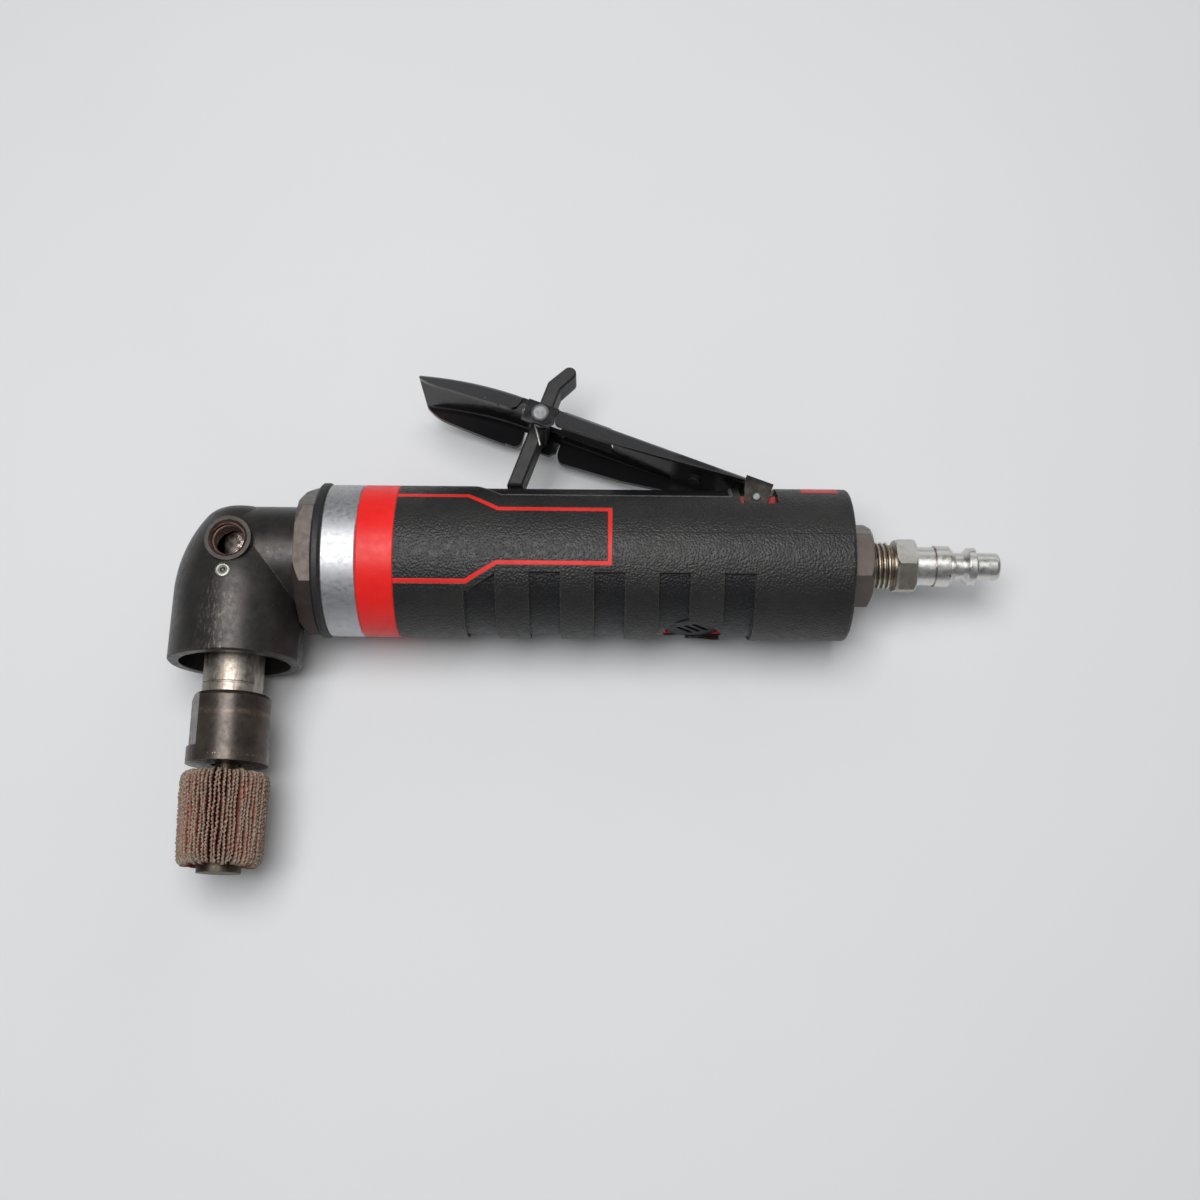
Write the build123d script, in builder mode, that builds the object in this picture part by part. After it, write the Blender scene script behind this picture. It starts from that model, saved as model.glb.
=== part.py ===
from build123d import *
import os
from math import acos, asin, atan2, cos, degrees, hypot, pi, radians, sin, tan

# A right angle air die grinder with a flap wheel, lying on its side. X is the motor axis,
# from the angle head to the air inlet. Y is the spindle axis, with the wheel towards -Y and
# the throttle lever towards +Y. Z is up from the table. While the pieces are modelled the
# two axes cross at the origin. At the end all pieces move together, so that the origin lies
# on the table under the middle of the tool. Sizes are in millimetres and degrees.

# Clearances
slip = 0.05  # turned pieces that slide together by hand
running = 0.3  # faces that move past each other
seat_gap = 0.02  # pieces pressed or screwed into their seats
past = 40.0  # how far a cut runs on when it goes right through
hexagon = 6  # sides of the nuts
gap_samples = 40  # points along each half turn when a spring's gap is measured
gap_apart = 30  # points nearer than this along the wire are not compared

# Angle head
head_rim_radius = 18.4
head_shoulder_radius = 18.15
head_drop = 30.6
head_crown_radius = 4.5
head_crown_rise = 14.45
head_crown_arc = 8.05
head_crown_turn = 56.0
head_side_turn = 89.2
neck_radius = 15.2
neck_front = -5.0
neck_taper = 6.5
neck_lead = 1.6
rim_round = 0.5
skirt_wall = 3.1
gear_chamber_radius = 12.2
gear_chamber_roof = 9.0
pinion_passage_radius = 9.6

# Side handle port and grease fitting on the upper cheek of the head
port_rise = 0.75
port_boss_radius = 6.4
port_boss_top = 18.4
port_radius = 4.7
port_mouth_chamfer = 0.6
fitting_offset = -0.65
fitting_drop = 8.3
fitting_radius = 2.05
fitting_top = 18.2
fitting_lean = 8.0
fitting_edge = 0.3
fitting_head = 1.0
fitting_stem_radius = 1.3
fitting_stem_length = 4.0
fitting_dimple_radius = 0.7

# Bevel gears
gear_module = 1.25
pinion_teeth = 12
gear_teeth = 16
tooth_face = 4.0
tooth_backlash = 0.16
pressure_angle = 20.0
dedendum_factor = 1.25
tooth_sink = 0.4
gear_hub_radius = 5.0
gear_hub_rise = 5.6
gear_rim_back = 3.4
gear_boss_radius = 7.4
pinion_collar_radius = 5.4
pinion_spacer_length = 1.6

# Ball bearings, as bore radius, outer radius and width
upper_bearing_bore, upper_bearing_outer, upper_bearing_width = 3.0, 6.5, 5.0
lower_bearing_bore, lower_bearing_outer, lower_bearing_width = 6.0, 14.0, 8.0
pinion_bearing_bore, pinion_bearing_outer, pinion_bearing_width = 4.0, 11.0, 7.0
motor_bearing_bore, motor_bearing_outer, motor_bearing_width = 4.0, 8.0, 5.0
race_wall = 1.2
shield_gap = 0.35
shield_thickness = 0.6

# Spindle, collet and flap wheel, with drops measured from the motor axis
upper_bearing_rise = 7.4
spindle_shaft_radius = 4.0
lower_bearing_drop = 13.0
spindle_collar_radius = 9.0
spindle_collar_end = 39.8
spindle_groove_drop = 36.9
spindle_groove_width = 0.5
spindle_groove_depth = 0.35
spindle_flat_depth = 1.9
spindle_thread_radius = 7.5
spindle_thread_length = 11.0
retainer_length = 4.5
retainer_bore_gap = 0.5
spanner_hole_radius = 1.0
collet_nut_radius = 11.2
collet_nut_length = 19.2
collet_nut_chamfer = 1.2
collet_nut_flat_depth = 1.35
collet_nut_flat_end = 4.4
collet_nut_flat_clock = -26.0
collet_tail_radius = 3.9
collet_waist_radius = 5.2
collet_nose_radius = 4.1
collet_tail_length = 9.0
collet_nose_length = 6.0
collet_slot_width = 0.6
collet_slots = 3
shank_radius = 3.175
shank_grip = 14.0
wheel_gap = 2.0
wheel_length = 24.8
wheel_top_radius = 12.4
wheel_foot_radius = 11.6
wheel_corner = 1.2
wheel_hub_radius = 5.95
wheel_hub_proud = 2.4
wheel_flaps = 60
flap_thickness = 0.75
flap_root_radius = 8.0

# Clamp nut, gasket and split ring, which hold the head on the motor case
nut_start = 18.1
nut_hex_length = 5.1
nut_hex_flats = 37.6
nut_hex_clock = 1.5
nut_hex_chamfer = 2.2
nut_spigot_radius = 18.2
nut_spigot_reach = 4.2
gasket_thickness = 2.6
gasket_radius = 22.1
gasket_edge = 0.6
split_ring_width = 1.6
split_ring_depth = 1.0
split_ring_rise = 1.6
split_ring_gap = 5.0

# Handle, from the front to the back
ring_length = 9.7
ring_edge = 0.4
band_length = 10.2
grip_length = 126.0
grip_radius = 21.6
grip_skin = 1.8
grip_end_round = 1.0
grip_end_wall = 1.2
core_wall = 1.2
band_edge = 0.25

# Motor inside the case
neck_end = 33.0
case_wall = 2.0
case_back_wall = 4.0
case_thread_depth = 6.6
case_air_radius = 8.6
end_plate_thickness = 6.0
liner_length = 45.0
liner_bore_radius = 13.2
liner_offset = 1.5
liner_ports = 4
liner_port_radius = 1.8
liner_port_pitch = 7.0
rotor_end_gap = 0.3
journal_radius = motor_bearing_bore
vane_count = 5
vane_thickness = 1.6
vane_root_radius = 5.6
drive_tongue_width = 3.0
drive_tongue_length = 4.0
dowel_radius = 1.0
dowel_depth = 3.0
dowel_rise = 14.1
plate_port_radius = 2.2
plate_port_rise = 11.5

# Air passages in the core, with places measured forward from the back end of the grip
air_passage_rise = 8.5
air_passage_radius = 3.6
exhaust_passage_drop = 11.2
exhaust_passage_radius = 5.4
inlet_bore_radius = 4.2
exhaust_back = 43.6
exhaust_port_radius = 7.8
exhaust_window_length = 16.45
exhaust_window_width = 18.2
diffuser_depth = 4.2
diffuser_inset = 0.8
diffuser_slot_width = 1.3
diffuser_slot_length = 7.7
diffuser_slot_pitch = 2.6
diffuser_slots = 3
diffuser_slant = 35.0

# Throttle valve, likewise
valve_back = 43.8
valve_bushing_radius = 5.0
valve_bushing_foot = 5.0
valve_bore_radius = 3.0
valve_stem_radius = 1.6
valve_stem_proud = 1.4
valve_stem_round = 1.4
valve_guide_length = 5.4
valve_head_radius = 3.8
valve_head_thickness = 1.8
valve_seal_thickness = 0.6
valve_chamber_radius = 4.5
valve_chamber_floor = -4.5
stem_seal_thickness = 1.2
stem_seal_radius = 2.6
valve_spring_wire = 0.7
valve_spring_turns = 3
valve_spring_end = 0.35

# Raised panel outline on both flanks of the grip, as heights above the motor axis
panel_front_top = 14.8
panel_front_bottom = -11.65
panel_back_top = 10.05
panel_back_bottom = -6.85
panel_slope_start = 65.5
panel_slope_end = 74.0
panel_end = 105.2
stripe_width = 1.15
stripe_depth = 0.8

# Finger notches along the underside of the grip
notch_count = 5
notch_start = 64.8
notch_width = 8.6
notch_pitch = 17.75
notch_top = -8.55
notch_depth = 1.2
notch_panel_gap = 1.6

# Shallow inset under the lever, and the window and grooves on top of the grip
inset_start = 64.3
inset_slope = 9.9
inset_back = 33.5
inset_foot = 15.15
inset_depth = 0.6
window_back = 13.8
window_length = 10.7
window_width = 9.0
top_grooves = ((56.3, 0.35), (59.8, 0.35), (64.4, 0.85))
top_groove_width = 0.9
heel_relief_back = 35.4
heel_relief_rise = 20.1

# Throttle lever, in its own directions: along from the pin to the tip, and out from the pin
pin_back = 26.1
pin_y = 16.1
pin_radius = 1.2
lever_rise = 20.6
web_top = 5.5
sheet = 1.5
lever_reach = 101.5
lever_tail = 3.3
lever_bend_at = 72.0
lever_bend_radius = 105.0
web_half = 10.6
flange_splay = 38.0
flange_drop = 7.6
web_round = 4.0
ear_outer = 12.2
ear_radius = 3.4
ear_front = 4.7
pivot_flange = 3.8
flange_step_start = 20.0
flange_step_end = 40.0
flange_step_height = 2.0
flange_step_foot = -0.3
flange_deep_at = 60.0
flange_deep = -1.35
flange_front_at = 75.0
flange_front = -1.6
flange_tip_at = 96.0
flange_tip = -1.8
tab_along = 65.9
tab_length = 9.2
tab_bottom = -1.5
tab_bevel = 1.7
notch_behind_tab = 4.9
notch_before_tab = 6.5
notch_round = 2.5
lock_slot_start = 44.5
lock_slot_end = 73.0
lock_slot_round = 1.5
dimple_along = 18.8
dimple_radius = 1.8
dimple_depth = 1.4

# Lock lever, rivet and spring, with the bar measured from the rivet
rivet_out = 1.55
rivet_radius = 1.15
rivet_head_radius = 2.65
rivet_head_height = 1.3
rivet_head_round = 1.15
lock_tilt = 19.3
lock_width = 4.2
lock_forward = 0.6
lock_half_thickness = 4.6
lock_foot_gap = 0.9
lock_knee = 12.6
lock_end_up = 17.9
lock_end_back = 2.2
lock_end_radius = 1.95
lock_edge = 0.5
lock_spring_wire = 0.7
lock_spring_radius = 1.8
lock_spring_pitch = 1.2
lock_spring_turns = 2
lock_spring_leg = 6.6
lock_leg_clock = 213.0

# Lever pocket in the housing
pocket_front = 4.9
pocket_back = 5.5
pocket_floor = 1.0
lug_radius = 2.8

# Air inlet
bushing_hex_flats = 21.2
bushing_hex_length = 7.0
bushing_hex_chamfer = 1.2
bushing_hex_bevel = 2.0
bushing_thread_radius = 9.4
bushing_depth = 21.0
plug_seat_depth = 11.0
screen_thickness = 0.8
screen_hole_radius = 0.55
screen_ring_radius = 2.8
screen_holes = 8
plug_thread_radius = 6.8
plug_thread_root = 6.0
plug_engaged = 8.0
plug_thread_shown = 6.1
plug_relief_length = 0.7
plug_relief_radius = 5.9
plug_hex_flats = 14.3
plug_hex_length = 5.8
plug_hex_chamfer = 0.8
plug_hex_clock = 40.6
plug_barrel_radius = 5.5
plug_barrel_length = 5.6
plug_ring_radius = 5.85
plug_ring_length = 5.9
plug_ring_slope = 1.8
plug_neck_radius = 3.9
plug_neck_length = 2.3
plug_ridge_radius = 5.35
plug_ridge_length = 4.0
plug_flare = 1.4
plug_nose_length = 6.6
plug_nose_round = 1.2
plug_bore_radius = 2.6
plug_chamfer = 0.6

# Places that follow from the sizes above
skirt_bore = head_rim_radius - skirt_wall
crown_sine, side_sine = sin(radians(head_crown_turn)), sin(radians(head_side_turn))
cheek_reach = head_shoulder_radius - head_crown_radius - head_crown_arc * crown_sine
head_cheek_arc = cheek_reach / (side_sine - crown_sine)
gasket_start = nut_start + nut_hex_length
ring_start = gasket_start + gasket_thickness
band_start = ring_start + ring_length
grip_start = band_start + band_length
grip_end = grip_start + grip_length
pin_x = grip_end - pin_back
valve_x = grip_end - valve_back
exhaust_x = grip_end - exhaust_back
window_start = grip_end - window_back
inset_end = grip_end - inset_back
heel_relief_start = grip_end - heel_relief_back
core_radius = grip_radius - grip_skin
core_end = grip_end - grip_end_wall
spigot_end = ring_start + nut_spigot_reach
liner_start = neck_end + end_plate_thickness
liner_end = liner_start + liner_length
case_shoulder = liner_end + end_plate_thickness
case_end = case_shoulder + case_back_wall
case_bore = core_radius - case_wall - core_wall
case_radius = case_bore + case_wall
liner_radius = case_bore - slip
rotor_radius = liner_bore_radius - liner_offset - running
retainer_drop = lower_bearing_drop + lower_bearing_width
collet_drop = spindle_collar_end + spindle_thread_length
nut_drop_end = spindle_collar_end + collet_nut_length
wheel_drop = nut_drop_end + wheel_gap
wheel_drop_end = wheel_drop + wheel_length
inset_radius = grip_radius - inset_depth
bushing_end = grip_end + bushing_hex_length
bushing_start = grip_end - bushing_depth
plug_seat = bushing_end - plug_seat_depth
pocket_y = pin_y + pocket_floor
ear_inner = ear_outer - sheet
lever_along = Vector(-cos(radians(lever_rise)), sin(radians(lever_rise)), 0)
lever_out = Vector(sin(radians(lever_rise)), cos(radians(lever_rise)), 0)
lever_side = Plane(origin=(pin_x, pin_y, 0), x_dir=lever_along, z_dir=(0, 0, -1))
rivet_place = lever_side.from_local_coords(Vector(tab_along, rivet_out, 0))
lock_back = Vector(cos(radians(lock_tilt)), -sin(radians(lock_tilt)), 0)
lock_side = Plane(origin=rivet_place, x_dir=lock_back, z_dir=(0, 0, 1))
leg_fall = lock_spring_leg * lock_spring_pitch / (2 * pi * lock_spring_radius)
lock_spring_base = lock_half_thickness + lock_spring_wire / 2 + leg_fall + slip
lock_spring_top = lock_spring_base + lock_spring_turns * lock_spring_pitch
lever_bend = degrees(asin((lever_reach - lever_bend_at) / lever_bend_radius))
tip_fall = lever_bend_radius * (1 - cos(radians(lever_bend)))


# Solids turned from one outline, about the motor axis or the spindle axis
def turned(outline, axis):
    with BuildPart() as piece:
        with BuildSketch(Plane.XY):
            with BuildLine():
                Polyline(*outline, close=True)
            make_face()
        revolve(axis=axis)
    return piece


def motor_ring(start, end, inner, outer):
    outline = [(start, inner), (end, inner), (end, outer), (start, outer)]
    return turned(outline, Axis.X)


# A shielded ball bearing: an outer race that carries both shields, and an inner race
def race_outlines(bore, outer, start, width):
    inner_lip = bore + race_wall
    outer_lip = outer - race_wall
    end = start + width
    shield_in = start + shield_thickness
    shield_out = end - shield_thickness
    shield_lip = inner_lip + shield_gap
    hole = bore + seat_gap
    inner = [(hole, start), (inner_lip, start), (inner_lip, end), (hole, end)]
    outer_race = [
        (shield_lip, start),
        (outer, start),
        (outer, end),
        (shield_lip, end),
        (shield_lip, shield_out),
        (outer_lip, shield_out),
        (outer_lip, shield_in),
        (shield_lip, shield_in),
    ]
    return inner, outer_race


def motor_bearing(bore, outer, start, width):
    inner, outer_race = race_outlines(bore, outer - seat_gap, start, width)
    inner_piece = turned([(along, radius) for radius, along in inner], Axis.X)
    outer_piece = turned([(along, radius) for radius, along in outer_race], Axis.X)
    return inner_piece, outer_piece


def spindle_bearing(bore, outer, drop, width):
    inner, outer_race = race_outlines(bore, outer - seat_gap, drop, width)
    inner_piece = turned([(radius, -along) for radius, along in inner], Axis.Y)
    outer_piece = turned([(radius, -along) for radius, along in outer_race], Axis.Y)
    return inner_piece, outer_piece


# One straight bevel tooth, a ruled loft from the heel of the tooth to its toe
def involute(angle):
    return tan(angle) - angle


def tooth_outline(pitch_radius, scale):
    pressure = radians(pressure_angle)
    base_radius = pitch_radius * cos(pressure)
    half_angle = (pi * gear_module / 2 - tooth_backlash) / (2 * pitch_radius)
    root = pitch_radius - dedendum_factor * gear_module - tooth_sink
    tip = pitch_radius + gear_module
    flank = []
    for radius in (root, base_radius, pitch_radius, (pitch_radius + tip) / 2, tip):
        angle = half_angle + involute(pressure)
        if radius > base_radius:
            angle -= involute(acos(base_radius / radius))
        side = radius * sin(angle)
        height = radius * cos(angle) - pitch_radius
        flank.append((side * scale, height * scale))
    return flank + [(-side, height) for side, height in reversed(flank)]


def bevel_tooth(axis_dir, radial_dir, pitch_angle):
    slope = radians(pitch_angle)
    cone_line = axis_dir * cos(slope) + radial_dir * sin(slope)
    outward = radial_dir * cos(slope) - axis_dir * sin(slope)
    virtual_radius = cone_distance * tan(slope)
    with BuildPart() as tooth:
        for distance in (cone_distance, cone_distance - tooth_face):
            section = Plane(
                origin=cone_line * distance,
                x_dir=outward.cross(cone_line),
                z_dir=cone_line,
            )
            with BuildSketch(section):
                with BuildLine():
                    outline = tooth_outline(virtual_radius, distance / cone_distance)
                    Polyline(*outline, close=True)
                make_face()
        loft(ruled=True)
    return tooth


# A wire spring whose turns are half turns of two arcs each, with straight ends
def biarc_middle(start, start_dir, end, end_dir):
    span = end - start
    both = start_dir + end_dir
    turn = 2 * (1 - start_dir.dot(end_dir))
    along = span.dot(both)
    reach = (-along + hypot(along, (turn * span.dot(span)) ** 0.5)) / turn
    return (start + end + (start_dir - end_dir) * reach) * 0.5


def coil_points(frame, radius, pitch, half_turns, start_angle):
    rise = Vector(0, 0, pitch / (2 * pi))
    places = []
    for step in range(half_turns + 1):
        angle = start_angle + pi * step
        place = Vector(radius * cos(angle), radius * sin(angle), pitch * step / 2)
        heading = Vector(-radius * sin(angle), radius * cos(angle), 0) + rise
        origin = frame.from_local_coords(Vector(0, 0, 0))
        place_at = frame.from_local_coords(place)
        heading_at = frame.from_local_coords(heading) - origin
        places.append((place_at, heading_at.normalized()))
    return places


def coil_spring(places, wire, first_leg, last_leg):
    with BuildPart() as spring:
        with BuildLine() as path:
            start, start_dir = places[0]
            Line(start - start_dir * first_leg, start)
            for (here, here_dir), (there, there_dir) in zip(places, places[1:]):
                middle = biarc_middle(here, here_dir, there, there_dir)
                first = TangentArc(here, middle, tangent=here_dir)
                TangentArc(middle, there, tangent=first % 1)
            end, end_dir = places[-1]
            Line(end, end + end_dir * last_leg)
        with BuildSketch(Plane(origin=path.line @ 0, z_dir=path.line % 0)):
            Circle(wire / 2)
        sweep(path=path.line)
    return spring, path.line


def least_gap(line, wire, half_turns):
    count = gap_samples * half_turns
    points = [line @ (step / count) for step in range(count + 1)]
    gaps = [
        (points[later] - points[first]).length - wire
        for first in range(count)
        for later in range(first + gap_apart, count + 1)
    ]
    return min(gaps)


# Angle head: a turned body and a neck at right angles, bored for gears and bearings
neck = turned(
    [
        (neck_front, 0),
        (neck_front, neck_radius - neck_lead),
        (neck_front + neck_taper, neck_radius),
        (neck_end, neck_radius),
        (neck_end, 0),
    ],
    Axis.X,
)
fitting_face = Plane(
    origin=(fitting_offset, -fitting_drop, fitting_top),
    x_dir=(1, 0, 0),
    z_dir=(0, sin(radians(fitting_lean)), cos(radians(fitting_lean))),
)
with BuildPart() as angle_head:
    with BuildSketch(Plane.XY):
        with BuildLine():
            crown = Line((0, head_crown_rise), (head_crown_radius, head_crown_rise))
            crown_arc = JernArc(crown @ 1, crown % 1, head_crown_arc, -head_crown_turn)
            cheek_turn = head_crown_turn - head_side_turn
            cheek = JernArc(crown_arc @ 1, crown_arc % 1, head_cheek_arc, cheek_turn)
            Polyline(
                cheek @ 1,
                (head_rim_radius, -(head_drop - rim_round)),
                (head_rim_radius - rim_round, -head_drop),
                (0, -head_drop),
                crown @ 0,
            )
        make_face()
    revolve(axis=Axis.Y)
    add(neck.part)
    with BuildSketch(Plane.XY):
        with Locations((0, port_rise)):
            Circle(port_boss_radius)
    extrude(amount=port_boss_top)
    # A flat face round the neck for the nut
    with BuildSketch(Plane.YZ.offset(nut_start - slip)):
        Circle(past)
        Circle(neck_radius, mode=Mode.SUBTRACT)
    extrude(amount=neck_end, mode=Mode.SUBTRACT)
    # Skirt, bearing seats and gear chamber along the spindle axis
    with BuildSketch(Plane.XY):
        with BuildLine():
            Polyline(
                (0, upper_bearing_rise + upper_bearing_width),
                (upper_bearing_outer, upper_bearing_rise + upper_bearing_width),
                (upper_bearing_outer, upper_bearing_rise),
                (gear_chamber_roof, upper_bearing_rise),
                (gear_chamber_radius, 0),
                (gear_chamber_radius, -lower_bearing_drop),
                (lower_bearing_outer, -lower_bearing_drop),
                (lower_bearing_outer, -retainer_drop),
                (skirt_bore, -retainer_drop),
                (skirt_bore, -head_drop),
                (0, -head_drop),
                close=True,
            )
        make_face()
    revolve(axis=Axis.Y, mode=Mode.SUBTRACT)
    # Pinion passage, pinion bearing bore and the split ring's groove along the neck
    with BuildSketch(Plane.YZ):
        Circle(pinion_passage_radius)
    extrude(amount=neck_end, mode=Mode.SUBTRACT)
    pinion_bearing_start = gear_chamber_radius + slip
    with BuildSketch(Plane.YZ.offset(neck_end)):
        Circle(pinion_bearing_outer)
    extrude(amount=pinion_bearing_start - neck_end, mode=Mode.SUBTRACT)
    with BuildSketch(Plane.YZ.offset(spigot_end)):
        Circle(neck_radius + running)
        Circle(neck_radius - split_ring_depth, mode=Mode.SUBTRACT)
    extrude(amount=split_ring_width + slip, mode=Mode.SUBTRACT)
    # Side handle port and the hole for the grease fitting
    with BuildSketch(Plane.XY.offset(port_boss_top)):
        with Locations((0, port_rise)):
            Circle(port_radius)
    extrude(amount=-port_boss_top, mode=Mode.SUBTRACT)
    port_rims = angle_head.edges().filter_by(GeomType.CIRCLE).group_by(Axis.Z)[-1]
    chamfer(port_rims.sort_by(SortBy.RADIUS)[0], port_mouth_chamfer)
    with BuildSketch(fitting_face):
        Circle(fitting_radius)
    extrude(amount=-fitting_head, mode=Mode.SUBTRACT)
    with BuildSketch(fitting_face):
        Circle(fitting_stem_radius)
    extrude(amount=pinion_passage_radius - fitting_top, mode=Mode.SUBTRACT)

# Grease fitting: a flush button with a ball dimple
with BuildPart() as grease_fitting:
    with BuildSketch(fitting_face):
        Circle(fitting_radius - seat_gap)
    extrude(amount=-fitting_head)
    with BuildSketch(fitting_face):
        Circle(fitting_stem_radius - seat_gap)
    extrude(amount=-(fitting_head + fitting_stem_length))
    chamfer(
        grease_fitting.edges().filter_by(GeomType.CIRCLE).group_by(Axis.Z)[-1],
        fitting_edge,
    )
    with Locations(fitting_face.origin):
        Sphere(fitting_dimple_radius, mode=Mode.SUBTRACT)

# Clamp nut: a chamfered hexagon with a threaded spigot that screws into the motor case
with BuildPart() as clamp_nut:
    with BuildSketch(Plane.YZ.offset(nut_start)):
        RegularPolygon(nut_hex_flats / 2, hexagon, major_radius=False, rotation=nut_hex_clock)
    extrude(amount=nut_hex_length)
    hex_corner = nut_hex_flats / 2 / cos(pi / hexagon)
    with BuildSketch(Plane.XY):
        with BuildLine():
            Polyline(
                (nut_start, 0),
                (nut_start, hex_corner - nut_hex_chamfer),
                (nut_start + nut_hex_chamfer, hex_corner),
                (gasket_start, hex_corner),
                (gasket_start, 0),
                close=True,
            )
        make_face()
    revolve(axis=Axis.X, mode=Mode.INTERSECT)
    with BuildSketch(Plane.YZ.offset(gasket_start)):
        Circle(nut_spigot_radius)
    extrude(amount=spigot_end - gasket_start)
    with BuildSketch(Plane.YZ.offset(nut_start)):
        Circle(neck_radius + slip)
    extrude(amount=past, mode=Mode.SUBTRACT)

# Gasket between the nut and the motor case
with BuildPart() as nut_gasket:
    with BuildSketch(Plane.YZ.offset(gasket_start)):
        Circle(gasket_radius)
        Circle(nut_spigot_radius + slip, mode=Mode.SUBTRACT)
    extrude(amount=gasket_thickness)
    gasket_rims = nut_gasket.edges().filter_by(GeomType.CIRCLE).sort_by(SortBy.RADIUS)
    chamfer(gasket_rims[-2:], gasket_edge)

# Split ring in the neck's groove, which the nut pushes against
with BuildPart() as split_ring:
    with BuildSketch(Plane.YZ.offset(spigot_end + slip / 2)):
        Circle(neck_radius + split_ring_rise)
        Circle(neck_radius - split_ring_depth + slip, mode=Mode.SUBTRACT)
        with Locations((-neck_radius, 0)):
            Rectangle(past, split_ring_gap, align=(Align.MIN, Align.CENTER), mode=Mode.SUBTRACT)
    extrude(amount=split_ring_width)

# Motor case: a bright ring at the front and a tube that holds the air motor
with BuildPart() as motor_case:
    with BuildSketch(Plane.YZ.offset(ring_start)):
        Circle(grip_radius)
    extrude(amount=ring_length)
    chamfer(motor_case.edges().filter_by(GeomType.CIRCLE), ring_edge)
    with BuildSketch(Plane.YZ.offset(ring_start + ring_edge)):
        Circle(case_radius)
    extrude(amount=case_end - ring_start - ring_edge)
    with BuildSketch(Plane.YZ.offset(ring_start)):
        Circle(nut_spigot_radius + slip)
    extrude(amount=case_thread_depth, mode=Mode.SUBTRACT)
    with BuildSketch(Plane.YZ.offset(ring_start)):
        Circle(case_bore)
    extrude(amount=case_shoulder - ring_start, mode=Mode.SUBTRACT)
    with BuildSketch(Plane.YZ.offset(case_shoulder)):
        Circle(case_air_radius)
    extrude(amount=case_back_wall, mode=Mode.SUBTRACT)


# End plates of the motor, each with a bearing seat, an air port and the front one a dowel hole
def end_plate(start, seat_start, dowel):
    with BuildPart() as plate:
        with BuildSketch(Plane.YZ.offset(start)):
            Circle(liner_radius)
            Circle(journal_radius + running, mode=Mode.SUBTRACT)
            with Locations((-plate_port_rise, 0)):
                Circle(plate_port_radius, mode=Mode.SUBTRACT)
        extrude(amount=end_plate_thickness)
        with BuildSketch(Plane.YZ.offset(seat_start)):
            Circle(motor_bearing_outer)
        extrude(amount=motor_bearing_width, mode=Mode.SUBTRACT)
        if dowel:
            with BuildSketch(Plane.YZ.offset(liner_start)):
                with Locations((dowel_rise, 0)):
                    Circle(dowel_radius + seat_gap)
            extrude(amount=-dowel_depth, mode=Mode.SUBTRACT)
    return plate


rear_seat = case_shoulder - motor_bearing_width
front_end_plate = end_plate(neck_end, neck_end, True)
rear_end_plate = end_plate(liner_end, rear_seat, False)

# Cylinder liner with an off-centre bore and a row of exhaust ports
with BuildPart() as cylinder_liner:
    with BuildSketch(Plane.YZ.offset(liner_start)):
        Circle(liner_radius)
        with Locations((-liner_offset, 0)):
            Circle(liner_bore_radius, mode=Mode.SUBTRACT)
        with Locations((dowel_rise, 0)):
            Circle(dowel_radius + seat_gap, mode=Mode.SUBTRACT)
    extrude(amount=liner_length)
    with BuildSketch(Plane.XZ):
        with Locations(((liner_start + liner_end) / 2, 0)):
            with GridLocations(liner_port_pitch, 1, liner_ports, 1):
                Circle(liner_port_radius)
    extrude(amount=past, mode=Mode.SUBTRACT)

# Dowel that keeps the front plate and the liner in line
with BuildPart() as liner_dowel:
    with BuildSketch(Plane.YZ.offset(liner_start - dowel_depth)):
        with Locations((dowel_rise, 0)):
            Circle(dowel_radius)
    extrude(amount=2 * dowel_depth)

# Rotor with journals, vane slots and a drive tongue that enters the pinion
rotor_start = liner_start + rotor_end_gap
rotor_end = liner_end - rotor_end_gap
tongue_start = neck_end - slip - drive_tongue_length
with BuildPart() as rotor:
    with BuildSketch(Plane.YZ.offset(rotor_start)):
        Circle(rotor_radius)
        with PolarLocations((rotor_radius + vane_root_radius) / 2, vane_count):
            slot_depth = rotor_radius - vane_root_radius
            Rectangle(slot_depth + slip, vane_thickness + 2 * slip, mode=Mode.SUBTRACT)
        with PolarLocations(rotor_radius, vane_count):
            Rectangle(vane_thickness, vane_thickness + 2 * slip, mode=Mode.SUBTRACT)
    extrude(amount=rotor_end - rotor_start)
    with BuildSketch(Plane.YZ.offset(neck_end)):
        Circle(journal_radius)
    extrude(amount=case_shoulder - neck_end - rotor_end_gap)
    with BuildSketch(Plane.YZ.offset(tongue_start)):
        Rectangle(2 * journal_radius, drive_tongue_width)
        Circle(journal_radius, mode=Mode.INTERSECT)
    extrude(amount=drive_tongue_length + slip)

# Vanes, drawn into their slots
with BuildPart() as rotor_vanes:
    with BuildSketch(Plane.YZ.offset(rotor_start)):
        with PolarLocations((rotor_radius + vane_root_radius) / 2, vane_count):
            Rectangle(rotor_radius - vane_root_radius - 2 * slip, vane_thickness)
    extrude(amount=rotor_end - rotor_start)

front_bearing_inner, front_bearing_outer = motor_bearing(
    motor_bearing_bore, motor_bearing_outer, neck_end, motor_bearing_width
)
rear_bearing_inner, rear_bearing_outer = motor_bearing(
    motor_bearing_bore, motor_bearing_outer, rear_seat, motor_bearing_width
)

# Bevel gears that cross at the origin, with a pinion tooth in a gear space at rest
pinion_pitch_radius = gear_module * pinion_teeth / 2
gear_pitch_radius = gear_module * gear_teeth / 2
cone_distance = hypot(pinion_pitch_radius, gear_pitch_radius)
pinion_angle = degrees(atan2(pinion_pitch_radius, gear_pitch_radius))
gear_angle = 90 - pinion_angle
toe_scale = (cone_distance - tooth_face) / cone_distance
dedendum = dedendum_factor * gear_module


def root_point(pitch_radius, axial, slope, scale):
    radius = (pitch_radius - dedendum * cos(radians(slope))) * scale
    along = (axial + dedendum * sin(radians(slope))) * scale
    return along, radius


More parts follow.
